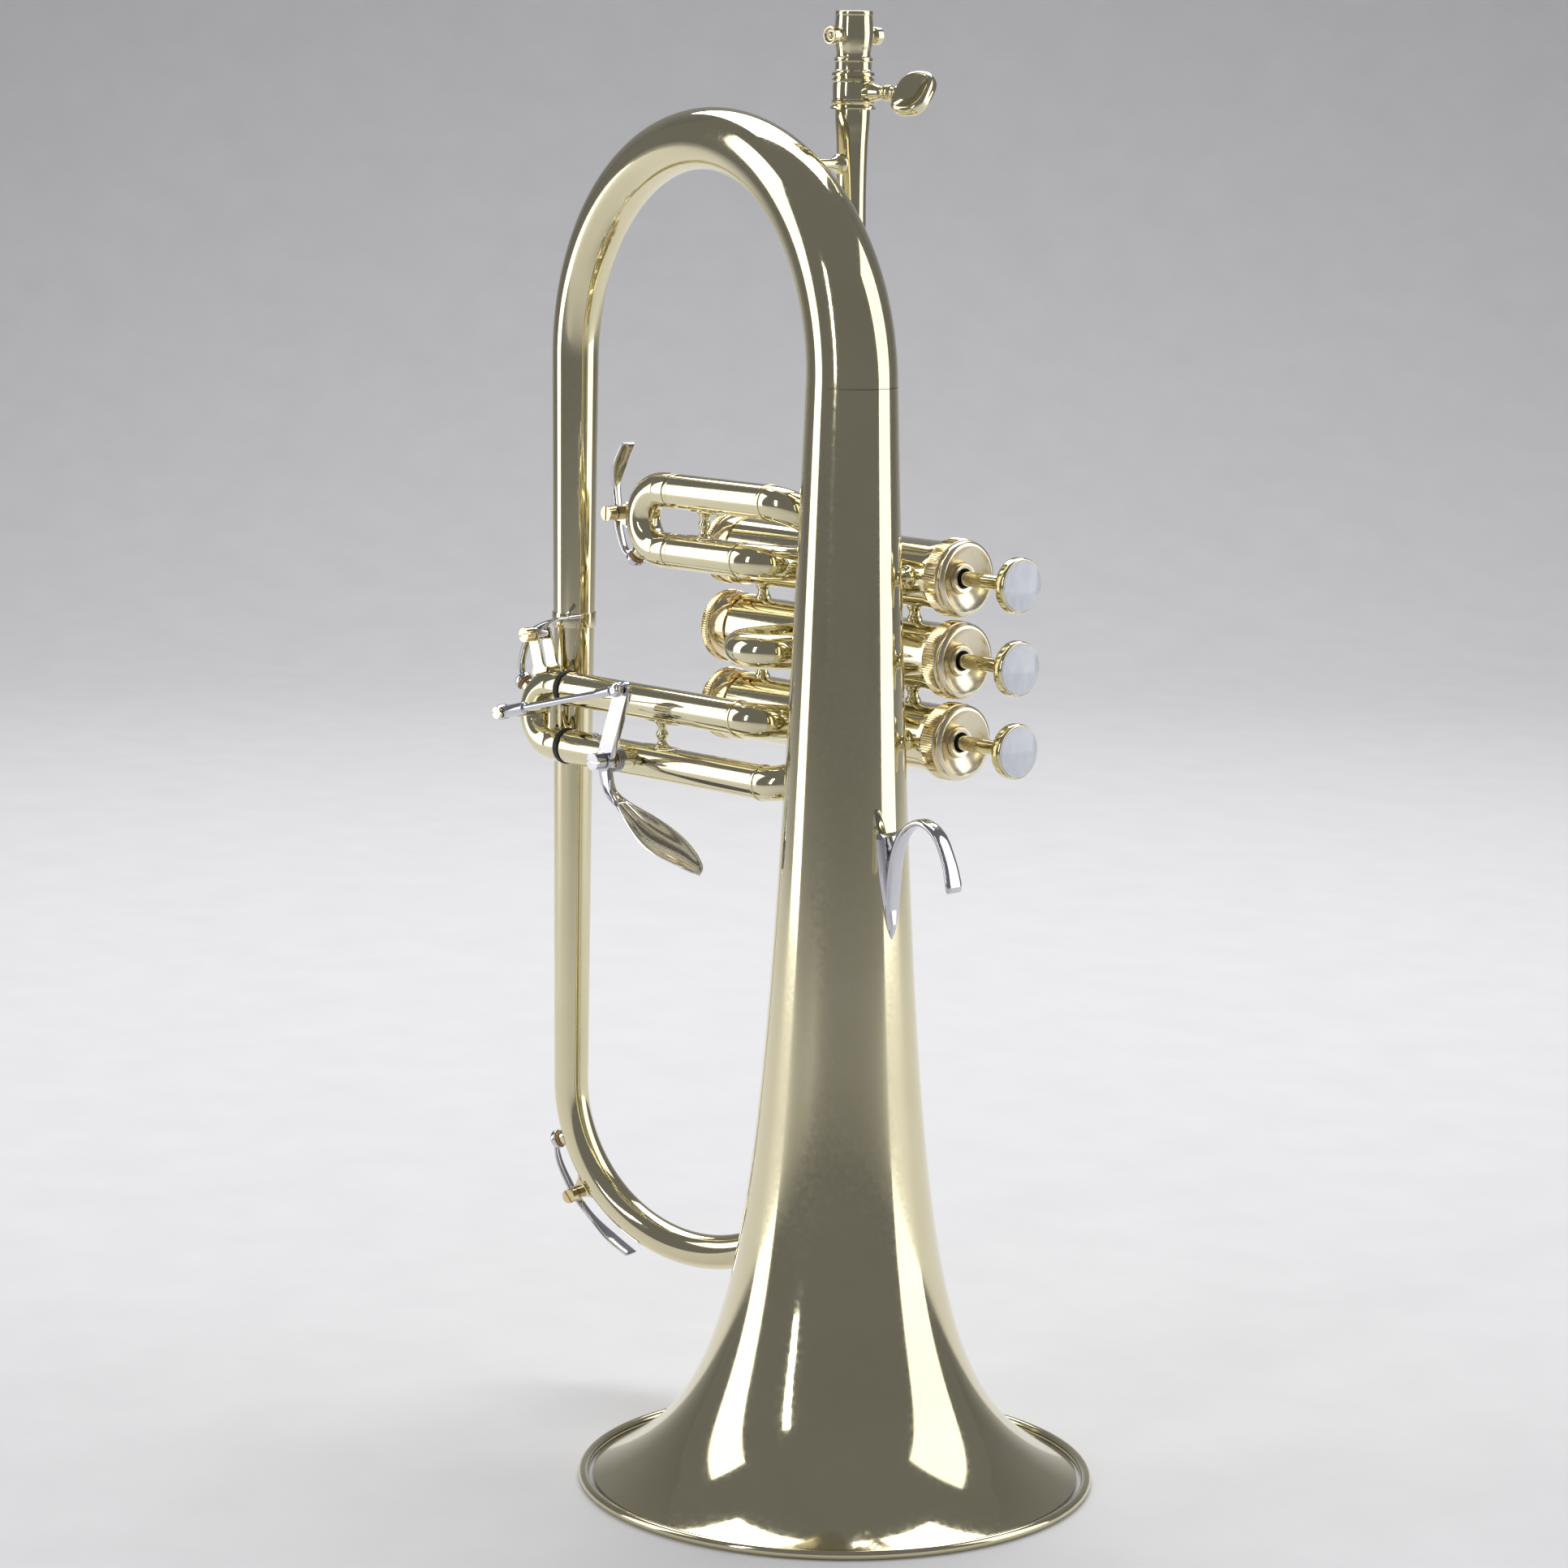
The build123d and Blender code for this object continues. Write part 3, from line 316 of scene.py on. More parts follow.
def smooth_line(points, per=8):
    """A Catmull-Rom curve through points of any length."""
    ends = [[2 * a - b for a, b in zip(points[0], points[1])], *points]
    ends.append([2 * a - b for a, b in zip(points[-1], points[-2])])
    out = []
    for i in range(1, len(ends) - 2):
        for k in range(per):
            t = k / per
            near = zip(ends[i - 1], ends[i], ends[i + 1], ends[i + 2])
            out.append([0.5 * (2 * q + (r - p) * t + (2 * p - 5 * q + 4 * r - s) * t * t
                               + (3 * q - p - 3 * r + s) * t ** 3) for p, q, r, s in near])
    out.append(list(points[-1]))
    return out


def strip(stations, hint, power=3.0, sides=28, per=8):
    """A bent bar. Each station is (x, y, z, half width, half thickness); its ends are rounded over."""
    line = smooth_line(stations, per)
    path, sizes = [p[:3] for p in line], [(p[3], p[4]) for p in line]
    for end in (0, -1):
        near, (w, h) = Vector(path[end]), sizes[end]
        away = (near - Vector(path[1 if end == 0 else -2])).normalized()
        caps = [(near + away * h * math.sin(a), (w - h + h * math.cos(a), max(h * math.cos(a), 0.02)))
                for a in (math.pi / 8, math.pi / 4, math.pi * 3 / 8, math.pi / 2)]
        for place, scale in caps:
            if end == 0:
                path.insert(0, place)
                sizes.insert(0, scale)
            else:
                path.append(place)
                sizes.append(scale)
    return sweep(path, sizes, sides, power, hint)


def moved(part, matrix):
    points, faces = part
    return [matrix @ Vector(p) for p in points], faces


# ---- bell, bows and tail ----
def flare(z):
    """The bell's outer radius at height z."""
    return 19.15 - 0.0257 * z + 56.1 * (31.7 / (z + 31.7)) ** 1.3


def make_bell():
    heights = [1.62 + (BOW_Z - 1.62) * (k / 110) ** 2.0 for k in range(111)]
    outer = [(z, flare(z)) for z in heights]
    inner = [(z, flare(z) - 0.75 - 0.6 * (20 / (z + 20)) ** 1.5) for z in reversed(heights)]
    piece("bell_body", [lathe(outer + inner, (0, 0, 0), (0, 0, 1), 224)], "instrument", ["bell"])
    ring = []
    for k in range(48):
        turn = 2 * math.pi * k / 48
        ring.append((max(1.35 + 1.49 * math.sin(turn), 0.0), 74.5 + 1.49 * math.cos(turn)))
    piece("rim_bead", [lathe(ring, (0, 0, 0), (0, 0, 1), 224)], "instrument", ["bell_rim_bead"])


def bow_radius(share):
    """The large bow's radius, from the bell at 0 to the tail at 1."""
    radii = (flare(BOW_Z), 12.6, 11.5, 10.3, 9.25, 8.5, 7.95, 7.5, 7.2)
    line = smooth_line([(i / 8, r) for i, r in enumerate(radii)], 12)
    spot = min(int(share * 96), 95)
    (x0, r0), (x1, r1) = line[spot], line[spot + 1]
    return r0 + (r1 - r0) * (share * 96 - spot)


def make_bows():
    span = math.hypot(*TAIL)
    half = span / 2
    path, sizes = [], []
    for k in range(121):
        turn = math.pi * k / 120
        along = half * (1 - math.cos(turn)) / span
        path.append((TAIL[0] * along, TAIL[1] * along, BOW_Z + half * math.sin(turn)))
        sizes.append((bow_radius(k / 120),) * 2)
    for k in range(1, 25):
        down = k / 24
        path.append((*TAIL, BOW_Z + (FERRULE_Z + 1.7 - BOW_Z) * down))
        sizes.append((7.2 - 0.7 * down,) * 2)
    piece("large_bow", [sweep(path, sizes, 112, hint=(TAIL[1], -TAIL[0], 0))], "instrument", ["bell_bow"])

    ring = [(-1.35, 6.36), (-1.35, 6.9), (3.3, 6.9), (3.3, 6.53), (1.7, 6.53), (1.7, 6.36)]
    piece("ferrule", [turned(ring, (*TAIL, FERRULE_Z), (0, 0, 1), 0.25)], "instrument", ["tail_ferrule"])

    dx, dy = BLOCK_X - TAIL[0], BLOCK_Y - TAIL[1]
    reach = math.hypot(dx, dy) / 2
    path, sizes = [], []
    for k in range(25):
        down = k / 24
        path.append((*TAIL, FERRULE_Z + 1.3 + (BOTTOM_Z - FERRULE_Z - 1.3) * down))
        sizes.append((6.35 - 0.95 * down,) * 2)
    for k in range(1, 97):
        turn = math.pi * k / 96
        along = (1 - math.cos(turn)) / 2
        path.append((TAIL[0] + dx * along, TAIL[1] + dy * along, BOTTOM_Z - reach * math.sin(turn)))
        sizes.append((5.4, 5.4))
    path.append((BLOCK_X, BLOCK_Y, VALVE_Z[2] - CASING_R + 1.2))
    sizes.append((5.4, 5.4))
    piece("lower_bow", [sweep(path, sizes, 80, hint=(dy, -dx, 0))], "instrument", ["bottom_bow"])


# ---- valves ----
TOP_CAP = [(2.6, 10.22), (2.6, 11.0), (3.0, 11.3), (3.3, 11.48), (7.4, 11.48), (7.7, 11.3), (7.9, 10.9),
           (8.2, 10.75), (8.5, 11.1), (9.1, 11.15), (9.8, 10.85), (10.25, 10.3), (10.28, 9.7), (9.9, 9.2),
           (9.4, 8.75), (8.5, 6.9), (7.7, 5.2), (7.5, 4.75), (7.7, 4.5), (8.6, 4.4), (8.88, 4.15),
           (8.88, 3.3), (8.7, 3.02), (6.5, 3.02), (6.5, 10.22)]
BOTTOM_CAP = [(-84.0, 10.22), (-84.0, 10.6), (-84.3, 10.68), (-90.2, 10.68), (-90.5, 10.55), (-90.8, 10.8),
              (-91.0, 11.08), (-93.3, 11.08), (-93.6, 10.9), (-94.15, 10.3), (-94.18, 8.7), (-93.7, 7.9),
              (-93.4, 7.4), (-93.4, 1.9), (-93.2, 1.52), (-91.5, 1.52), (-91.5, 10.22)]
DISH_X = 0.0076              # the cap's turned face begins here, in metres; its faces get a paler brass whose extra paleness is painted sheen
NECK_X = 24.2


def make_valves():
    links = []
    for k in (0, 1):
        high, low = VALVE_Z[k] - CASING_R, VALVE_Z[k + 1] + CASING_R
        for x in (-77.4, -11.7):
            post = [(low - 1.2, 0), (low - 1.2, 2.4), (low + 0.3, 2.4), (low + 1.3, 1.7),
                    (high - 1.3, 1.7), (high - 0.3, 2.4), (high + 1.2, 2.4), (high + 1.2, 0)]
            links.append(turned(post, (x, BLOCK_Y, 0), (0, 0, 1), 0.4, sides=48))
        links.append(tube([(BLOCK_X, BLOCK_Y, low - 1.4), (BLOCK_X, BLOCK_Y, high + 1.4)], 0, TUBE_R))
    piece("casing_links_set", links, "instrument", ["casing_links"])
    tops, ends, felts = [], [], []
    for number, z in enumerate(VALVE_Z, 1):
        spot, east = (0, BLOCK_Y, z), (1, 0, 0)
        shell = [(-89, 8.6), (-89, 10.15), (-86.5, 10.15), (-0.6, 10.15), (-0.4, 10.18), (1.8, 10.18),
                 (2.4, 10.1), (6.2, 10.1), (6.2, 8.6)]
        piece(f"casing_{number}", [lathe(shell, spot, east, 120)], "instrument", [f"valve_casing_{number}"])
        tops.append(lathe(TOP_CAP, spot, east, 192, knurl=(3.2, 7.5, 0.32)))
        ends.append(lathe(BOTTOM_CAP, spot, east, 192, knurl=(-93.4, -90.9, 0.3)))
        felts.append(turned([(6.6, 2.57), (6.6, 2.95), (8.3, 2.95), (8.3, 2.57)], spot, east, 0.1))
        make_button(number, spot, east)
    caps = piece("top_cap_set", tops, "instrument", ["top_caps"], GOLD)
    caps.data.materials.append(DISH_PAINTED_SHEEN)
    # The upward turned face of each cap takes the second material, whose paler colour is painted sheen.
    for face in caps.data.polygons:
        if face.center.x > DISH_X and face.normal.x > 0.3:
            face.material_index = 1
    piece("bottom_cap_set", ends, "instrument", ["bottom_caps"], GOLD)
    piece("stem_felt_set", felts, "instrument", ["stem_felts"])


def make_button(number, spot, east):
    body = f"piston_assembly_{number}"
    stem = [(-12, 0), (-12, 2.18), (NECK_X, 2.18), (NECK_X, 0)]
    piece(f"stem_{number}", [turned(stem, spot, east, 0.2)], body, [f"valve_stem_{number}"])
    neck = smooth_line([(NECK_X, 2.3), (24.6, 2.7), (25.4, 3.1), (26.4, 3.8), (27.5, 5.3), (28.1, 7.0)], 6)
    disc = [(28.5, 7.75), (29.3, 8.2), (30.4, 8.24), (31.4, 8.18), (32.0, 7.9), (32.1, 7.62)]
    edge = [tuple(p) for p in neck + smooth_line(disc, 5)]
    shape = [(NECK_X, 0.0)] + edge + [(31.0, 7.56), (31.0, 0.0)]
    piece(f"button_{number}", [lathe(shape, spot, east, 112)], body, [f"finger_button_{number}"])
    dome = [(32.2 + 0.68 * (1 - (k / 12) ** 2), 7.5 * k / 12) for k in range(12, -1, -1)]
    shape = [(31.05, 0.0), (31.05, 7.48)] + dome
    piece(f"pearl_{number}", [lathe(shape, spot, east, 112)], body, [f"button_pearl_{number}"])


# ---- slides ----
def knuckle_end(corner_x, z, valve, reach):
    """Where a slide's short branch meets its casing."""
    dy, dz = BLOCK_Y - SLIDE_Y, VALVE_Z[valve] - z
    share = 1 - reach / math.hypot(dy, dz)
    return (corner_x, SLIDE_Y + dy * share, z + dz * share)


def band(x0, x1, z, radius, bore=5.0):
    """A thin ring round a slide's leg, with rounded edges."""
    ring = [(x0, bore), (x0, radius), (x1, radius), (x1, bore)]
    return turned(ring, (0, SLIDE_Y, z), (1, 0, 0), 0.18, sides=80)


def make_sleeves(name, node, end_x, corners, heights, valve):
    parts = []
    for corner, z in zip(corners, heights):
        run = [(end_x, SLIDE_Y, z), (corner, SLIDE_Y, z), knuckle_end(corner, z, valve, 9.0)]
        parts.append(tube(run, 8.5, SLEEVE_R, 80))
        parts.append(band(corner - 9.8, corner - 8.5, z, 5.5))
        parts.append(band(end_x, end_x + 1.5, z, 5.3))
    piece(name, parts, "instrument", [node])


def make_crook(name, node, body, face_x, bend_x, heights):
    high, low = heights
    far = bend_x - CROOK_R
    corners = [(x, SLIDE_Y, z) for x, z in ((face_x, high), (far, high), (far, low), (face_x, low))]
    path = arc_path(corners, CROOK_R - 0.001, 0.8)
    parts = [sweep(path, [(SLIDE_R, SLIDE_R)] * len(path), 80, hint=(0, 1, 0))]
    parts += [band(bend_x - 0.2, face_x, z, 5.3) for z in heights]
    piece(name, parts, body, [node])


def make_slides():
    make_sleeves("first_sleeves", "first_slide_sleeves", -75.0, FIRST_ELBOW_X, FIRST_Z, 0)
    make_sleeves("third_sleeves", "third_slide_sleeves", -122.0, THIRD_ELBOW_X, THIRD_Z, 2)
    make_crook("first_crook", "first_slide_crook", "first_slide", -75.3, FIRST_BEND_X, FIRST_Z)
    make_crook("third_crook", "third_slide_crook", "third_slide", -124.6, THIRD_BEND_X, THIRD_Z)
    rings = []
    for z in THIRD_Z:
        turns = [2 * math.pi * k / 20 for k in range(20)]
        bulge = [(-123.45 + 1.05 * math.cos(a), 5.39 + 0.25 * math.sin(a)) for a in turns]
        core = [(-124.4, 4.88), (-124.4, 5.3), (-122.5, 5.3), (-122.5, 4.88)]
        rings += [lathe(shape, (0, SLIDE_Y, z), (1, 0, 0), 80) for shape in (bulge, core)]
    piece("o_rings", rings, "third_slide", ["third_slide_o_rings"])
    z, (left, right) = VALVE_Z[1], SECOND_X
    legs = []
    for x in SECOND_X:
        legs.append(tube([(x, 20.5, z), (x, BLOCK_Y - CASING_R + 1.8, z)], 0, 5.2, 80))
        ring = [(20.5, 5.0), (20.5, 5.3), (21.8, 5.3), (21.8, 5.0)]
        legs.append(turned(ring, (x, 0, z), (0, 1, 0), 0.15, sides=80))
    piece("second_sleeves", legs, "instrument", ["second_slide_sleeves"])
    near = 12.7 - CROOK_R
    corners = [(left, 20.2, z), (left, near, z), (right, near, z), (right, 20.2, z)]
    path = arc_path(corners, CROOK_R - 0.001, 0.8)
    crook = [sweep(path, [(5.25, 5.25)] * len(path), 80, hint=(0, 0, 1))]
    piece("second_crook", crook, "second_slide", ["second_slide_crook"])


def leaf_foot(x, z, side, length=8.5, spread=0.62):
    """A thin pointed flange lying on a slide's leg; side is 1 on top of the tube and -1 below."""
    rows, columns, points = 28, 10, []
    for i in range(rows + 1):
        t = -1 + 2 * i / rows
        half = spread * math.sqrt(max(1 - abs(t) ** 1.3, 0.0)) * (0.45 + 0.55 * math.cos(t * math.pi / 2))
        for k in range(columns + 1):
            s = -1 + 2 * k / columns
            turn = s * max(half, 0.01)
            radius = 5.2 + 0.42 * math.sqrt(max(1 - s ** 4, 0)) * math.sqrt(max(1 - t ** 4, 0))
            across, lift = radius * math.sin(turn), side * radius * math.cos(turn)
            points.append((x + t * length, SLIDE_Y + across, z + lift))
    return points, sheet(rows, columns)


def baluster(low, high, waist, foot, knob):
    """A turned post between two flanged feet, as an outline along its axis."""
    middle = (low + high) / 2
    reach = (high - low) / 2
    side = [(-reach, foot), (-reach + 0.5, foot), (-reach + 1.1, foot * 0.72), (-reach + 1.9, waist),
            (-1.3, waist * 0.92), (-0.9, knob * 0.85), (0, knob)]
    side += [(-a, r) for a, r in reversed(side[:-1])]
    return [(middle - reach, 0.0)] + [(middle + a, r) for a, r in side] + [(middle + reach, 0.0)]


def make_braces():
    parts = []
    for x, (high, low) in ((-61.5, FIRST_Z), (-79.5, THIRD_Z)):
        shape = baluster(low + 4.6, high - 4.6, 1.35, 2.9, 1.95)
        parts.append(lathe(rounded(shape, 0.3), (x, SLIDE_Y, 0), (0, 0, 1), 56))
        parts += [leaf_foot(x, low, 1), leaf_foot(x, high, -1)]
    for z in (VALVE_Z[0], VALVE_Z[2]):
        start = math.sqrt(flare(z) ** 2 - 25) - 0.5
        shape = baluster(start, BLOCK_Y - CASING_R + 0.2, 1.7, 3.4, 2.2)
        parts.append(lathe(rounded(shape, 0.3), (-5.0, 0, z), (0, 1, 0), 56))
    shape = [(12.5, 0), (12.5, 3.4), (13.5, 3.4), (14.6, 2.2), (16.5, 1.6), (22, 1.5), (30, 1.5),
             (31.5, 1.8), (32.6, 2.8), (33.6, 3.1), (34.2, 3.1), (34.2, 0)]
    parts.append(turned(shape, (BLOCK_X, 0, 384.5), (0, 1, 0), 0.3, sides=56))
    piece("brace_set", parts, "instrument", ["tube_braces"])


# ---- leadpipe ----
CLAMP_Z, KNOB_Z = 405.3, 421.8
SCREW_TURN, HEAD_LEAN = math.radians(8), math.radians(38)
HEAD_REACH = 22.4
HEAD_HALF_TALL, HEAD_HALF_WIDE = 6.35, 7.35


def thumb_plate(middle, out, lean):
    """A thick flat head with dished faces and rounded corners; it holds the line out and leans back."""
    face = Vector((out.y, -out.x, 0)) * math.cos(lean) + Vector((0, 0, math.sin(lean)))
    wide = face.cross(out)
    side = [(0.0, 1.0), (0.9, 1.0), (1.6, 0.96), (1.98, 0.86), (1.85, 0.74), (1.45, 0.4), (1.3, 0.0)]
    half = smooth_line(side, 6)
    layers = [(-a, r) for a, r in reversed(half)] + half[1:]
    points, sides = [], 96
    for along, share in layers:
        share = max(share, 0.0)
        ring = section(HEAD_HALF_TALL * share, HEAD_HALF_WIDE * share, 2.7, sides)
        points += [middle + face * along + out * a + wide * b for a, b in ring]
    return points, skin(len(layers) - 1, sides)


def make_leadpipe():
    spot, up = (BLOCK_X, BLOCK_Y, 0), (0, 0, 1)
    outside = [(275.0, 5.28), (290.0, 5.28), (320.0, 5.05), (350.0, 4.7), (375.0, 4.4), (388.0, 4.6),
               (393.0, 4.85), (398.5, 5.18), (411.1, 5.22)]
    curve = [tuple(p) for p in smooth_line(outside, 6)]
    inside = [(411.1, 4.92), (396.2, 4.92), (388, 3.9), (375, 3.7), (290, 4.4), (275.0, 4.4)]
    piece("lead_tube", [lathe(curve + inside, spot, up, 96)], "instrument", ["leadpipe"])
    ring = [(400.4, 5.28), (400.4, 6.8), (400.9, 6.87), (401.2, 6.4), (401.6, 6.0), (402.0, 6.33),
            (402.7, 6.38), (403.2, 6.0), (403.6, 6.05), (407.4, 6.05), (407.9, 5.92), (408.3, 5.92),
            (408.6, 6.3), (409.1, 6.35), (409.4, 5.95), (409.7, 5.95), (410.1, 6.35), (410.7, 6.38),
            (411.15, 6.1), (411.15, 5.28)]
    boss = [(5.2, 0), (5.2, 3.0), (7.5, 2.85), (10.4, 1.95), (11.6, 1.85), (12.0, 2.35), (12.95, 2.35),
            (12.95, 0)]
    out = (math.cos(SCREW_TURN), math.sin(SCREW_TURN), 0)
    hub = (BLOCK_X, BLOCK_Y, CLAMP_Z)
    collar = [lathe(ring, spot, up, 112), turned(boss, hub, out, 0.25, sides=64)]
    piece("clamp_collar", collar, "instrument", ["leadpipe_clamp"])
    shaft = [(13.1, 0), (13.1, 2.35), (14.0, 2.35), (14.4, 1.75), (15.2, 1.75), (16.6, 2.3), (17.6, 1.9),
             (17.6, 0)]
    head = thumb_plate(Vector(hub) + Vector(out) * HEAD_REACH, Vector(out), HEAD_LEAN)
    parts = [turned(shaft, hub, out, 0.25, sides=64), head]
    piece("thumb_screw", parts, "clamp_thumb_screw", ["clamp_screw"])
    outside = [(414.15, 5.45), (414.35, 5.74), (415.1, 5.74), (415.5, 5.3), (416.1, 5.05), (417.5, 5.2),
               (419.3, 5.55), (421.8, 5.78), (424.5, 5.7), (427.2, 5.5), (428.1, 5.62), (428.8, 5.55),
               (429.0, 5.2), (428.95, 4.7)]
    barrel = smooth_line(outside, 5)
    lower = [(411.35, 4.8), (411.4, 5.6), (411.7, 5.72), (411.95, 5.42), (413.9, 5.42)]
    inside = [(428.6, 4.52), (404.0, 4.52), (402.0, 3.9), (397.6, 3.9), (397.6, 4.8)]
    shape = lower + [tuple(p) for p in barrel] + inside
    piece("receiver_barrel", [lathe(shape, spot, up, 112)], "receiver", ["mouthpiece_receiver"])
    knobs = []
    for side in (-1, 1):
        start = (BLOCK_X, BLOCK_Y, KNOB_Z)
        knob = [(5.5, 0), (5.5, 2.1), (5.9, 2.1), (6.2, 1.6), (6.8, 1.55), (7.3, 2.2), (7.8, 2.65),
                (9.9, 2.68), (10.07, 2.5), (10.07, 2.1), (9.7, 1.85), (9.4, 1.5), (9.45, 1.1), (10.0, 0.8),
                (10.2, 0.4), (10.3, 0)]
        knobs.append(lathe(rounded(knob, 0.15), start, (0, side, 0), 64))
    piece("pull_knob_pair", knobs, "receiver", ["pull_knobs"])


# ---- hook ----
PLATE_Z, PLATE_TALL, PLATE_HALF, PLATE_THICK = 165.3, 31.0, 4.75, 1.35


def make_hook():
    arch = [(19.8, 0, 168.5, 1.6, 0.6), (20.0, 0, 174, 2.5, 1.0), (20.4, 0, 182, 2.7, 1.15),
            (21.7, 0, 190.5, 2.6, 1.1), (25.2, 0, 197.6, 2.5, 1.05), (31.6, 0, 201.1, 2.5, 1.05),
            (38.2, 0, 198.4, 2.5, 1.05), (42.4, 0, 191.6, 2.6, 1.0), (44.4, 0, 185.4, 3.0, 0.95),
            (44.7, 0, 183.4, 2.9, 0.8)]
    rows, columns, points = 40, 12, []
    for i in range(rows + 1):
        t = i / rows
        z = PLATE_Z + PLATE_TALL * t
        half = max(PLATE_HALF * math.sin(math.pi / 2 * t) ** 0.75, 0.02)
        for k in range(columns + 1):
            s = -1 + 2 * k / columns
            swell = math.sqrt(max(1 - s ** 4, 0)) * min(1, 8 * t, 40 * (1 - t))
            radius = flare(z) + 0.05 + PLATE_THICK * swell
            turn = s * half / flare(z)
            points.append((radius * math.cos(turn), radius * math.sin(turn), z))
    parts = [strip(arch, (0, 1, 0)), (points, sheet(rows, columns))]
    piece("finger_hook", parts, "instrument", ["pinky_hook"])


# ---- water keys ----
def on_bend(centre, radius, along, turn):
    """A frame on the outside of a vertical bend: X towards the thumb plate, Z out of the tube."""
    angle, along = math.radians(turn), Vector(along)
    out = along * math.cos(angle) + Vector((0, 0, math.sin(angle)))
    ahead = along * math.sin(angle) - Vector((0, 0, math.cos(angle)))
    side, spot = out.cross(ahead), Vector(centre) + out * radius
    return Matrix([*[[ahead[i], side[i], out[i], spot[i]] for i in range(3)], [0, 0, 0, 1]])


def make_key(name, body, base, bend, turn, cork_turn, pivot, bar):
    place, cork = on_bend(*bend, turn), on_bend(*bend, cork_turn)
    widths = ((1.0, 0.55), (1.3, 0.7), (1.5, 0.8), (1.55, 0.8), (1.6, 0.65), (2.9, 0.55), (2.9, 0.5))
    arm = strip([(x, 0, z, *size) for (x, z), size in zip(bar, widths)], (0, 1, 0))
    outline = [(-2.05, 0), (-2.05, 1.95), (2.05, 1.95), (2.05, 0)]
    barrel = turned(outline, (0, 0, pivot), (0, 1, 0), 0.3, sides=48)
    dome = [(2.6, 2.4), (2.6, 2.95), (4.0, 2.95), (4.6, 2.5), (4.95, 1.5), (5.05, 0.0), (3.8, 0.0),
            (3.8, 2.4)]
    cap = turned(dome, (0, 0, 0), (0, 0, 1), 0.25, sides=56)
    lever = [moved(arm, place), moved(barrel, place), moved(cap, cork)]
    piece(f"{name}_lever", lever, body, [f"{name}_key_lever"])
    ears = []
    half_turn = [math.pi * k / 14 for k in range(15)]
    for y in (-2.7, 2.7):
        ear = [(math.cos(a) * 2.15, pivot + math.sin(a) * 2.15) for a in half_turn]
        ear += [(-2.3, 1.6), (-3.2, 0.3), (-3.3, -0.9), (3.3, -0.9), (3.2, 0.3), (2.3, 1.6)]
        ears.append(slab(ear, y, 0.42))
    foot = slab([(-4.2, -1.4), (-4.2, 0.1), (-3.2, 0.65), (3.2, 0.65), (4.2, 0.1), (4.2, -1.4)], 0, 2.2)
    outline = [(-1.5, 1.3), (-1.5, 2.6), (0.9, 2.55), (1.3, 1.9), (2.0, 1.8), (2.0, 1.3)]
    nipple = turned(outline, (0, 0, 0), (0, 0, 1), 0.15, sides=56)
    parts = [moved(p, place) for p in (*ears, foot)] + [moved(nipple, cork)]
    piece(f"{name}_saddle", parts, base, [f"{name}_key_saddle"])


FIRST_BAR = [(-13.9, -1.8), (-10.6, 3.0), (-3.5, 6.1), (1.5, 6.6), (8.0, 7.4), (14.5, 6.0), (21.0, 2.6)]
THIRD_BAR = [(-12.4, -0.8), (-10.9, 5.0), (-4.6, 12.0), (1.5, 13.6), (8.0, 13.9), (12.5, 13.7),
             (18.0, 13.0)]
BOW_BAR = [(-18.2, 1.5), (-12.0, 4.6), (-4.0, 6.0), (1.5, 6.2), (9.0, 5.2), (17.5, 3.0), (25.5, -0.2)]


def make_keys():
    outside = CROOK_R + TUBE_R
    first = ((FIRST_BEND_X, SLIDE_Y, sum(FIRST_Z) / 2), outside, (1, 0, 0))
    third = ((THIRD_BEND_X, SLIDE_Y, sum(THIRD_Z) / 2), outside, (1, 0, 0))
    make_key("first", "first_key", "first_slide", first, 178.0, 226.0, 4.4, FIRST_BAR)
    make_key("third", "third_key", "third_slide", third, 107.4, 150.0, 11.5, THIRD_BAR)
    dx, dy = BLOCK_X - TAIL[0], BLOCK_Y - TAIL[1]
    span = math.hypot(dx, dy)
    centre = ((BLOCK_X + TAIL[0]) / 2, (BLOCK_Y + TAIL[1]) / 2, BOTTOM_Z)
    low = (centre, span / 2 + 5.4, (-dx / span, -dy / span, 0))
    make_key("bow", "bow_key", "instrument", low, -39.1, -21.1, 4.2, BOW_BAR)


def slab(outline, y, half, edge=0.18):
    """A flat plate across local Y with softened edges, from an outline of (x, z)."""
    centre = Vector((sum(p[0] for p in outline) / len(outline), sum(p[1] for p in outline) / len(outline)))
    points, count = [], len(outline)
    for offset, shrink in ((-half, edge), (-half + edge, 0.0), (half - edge, 0.0), (half, edge)):
        for x, z in outline:
            inward = (centre - Vector((x, z))).normalized() * shrink
            points.append((x + inward.x, y + offset, z + inward.y))
    return points, skin(3, count) + [list(range(count)), list(range(3 * count, 4 * count))]


# ---- trigger ----
PIVOT_X, PIVOT_Z = -89.0, 205.3
ROD_X, ROD_Y, ROD_Z = -80.8, -18.2, 227.5      # where the rod's ball sits on the lever
ANCHOR_X, ANCHOR_Z = -133.5, 215.0             # the rod's eye on the third slide
LEVER_EYE_R, LEVER_HALF = 2.85, 1.05


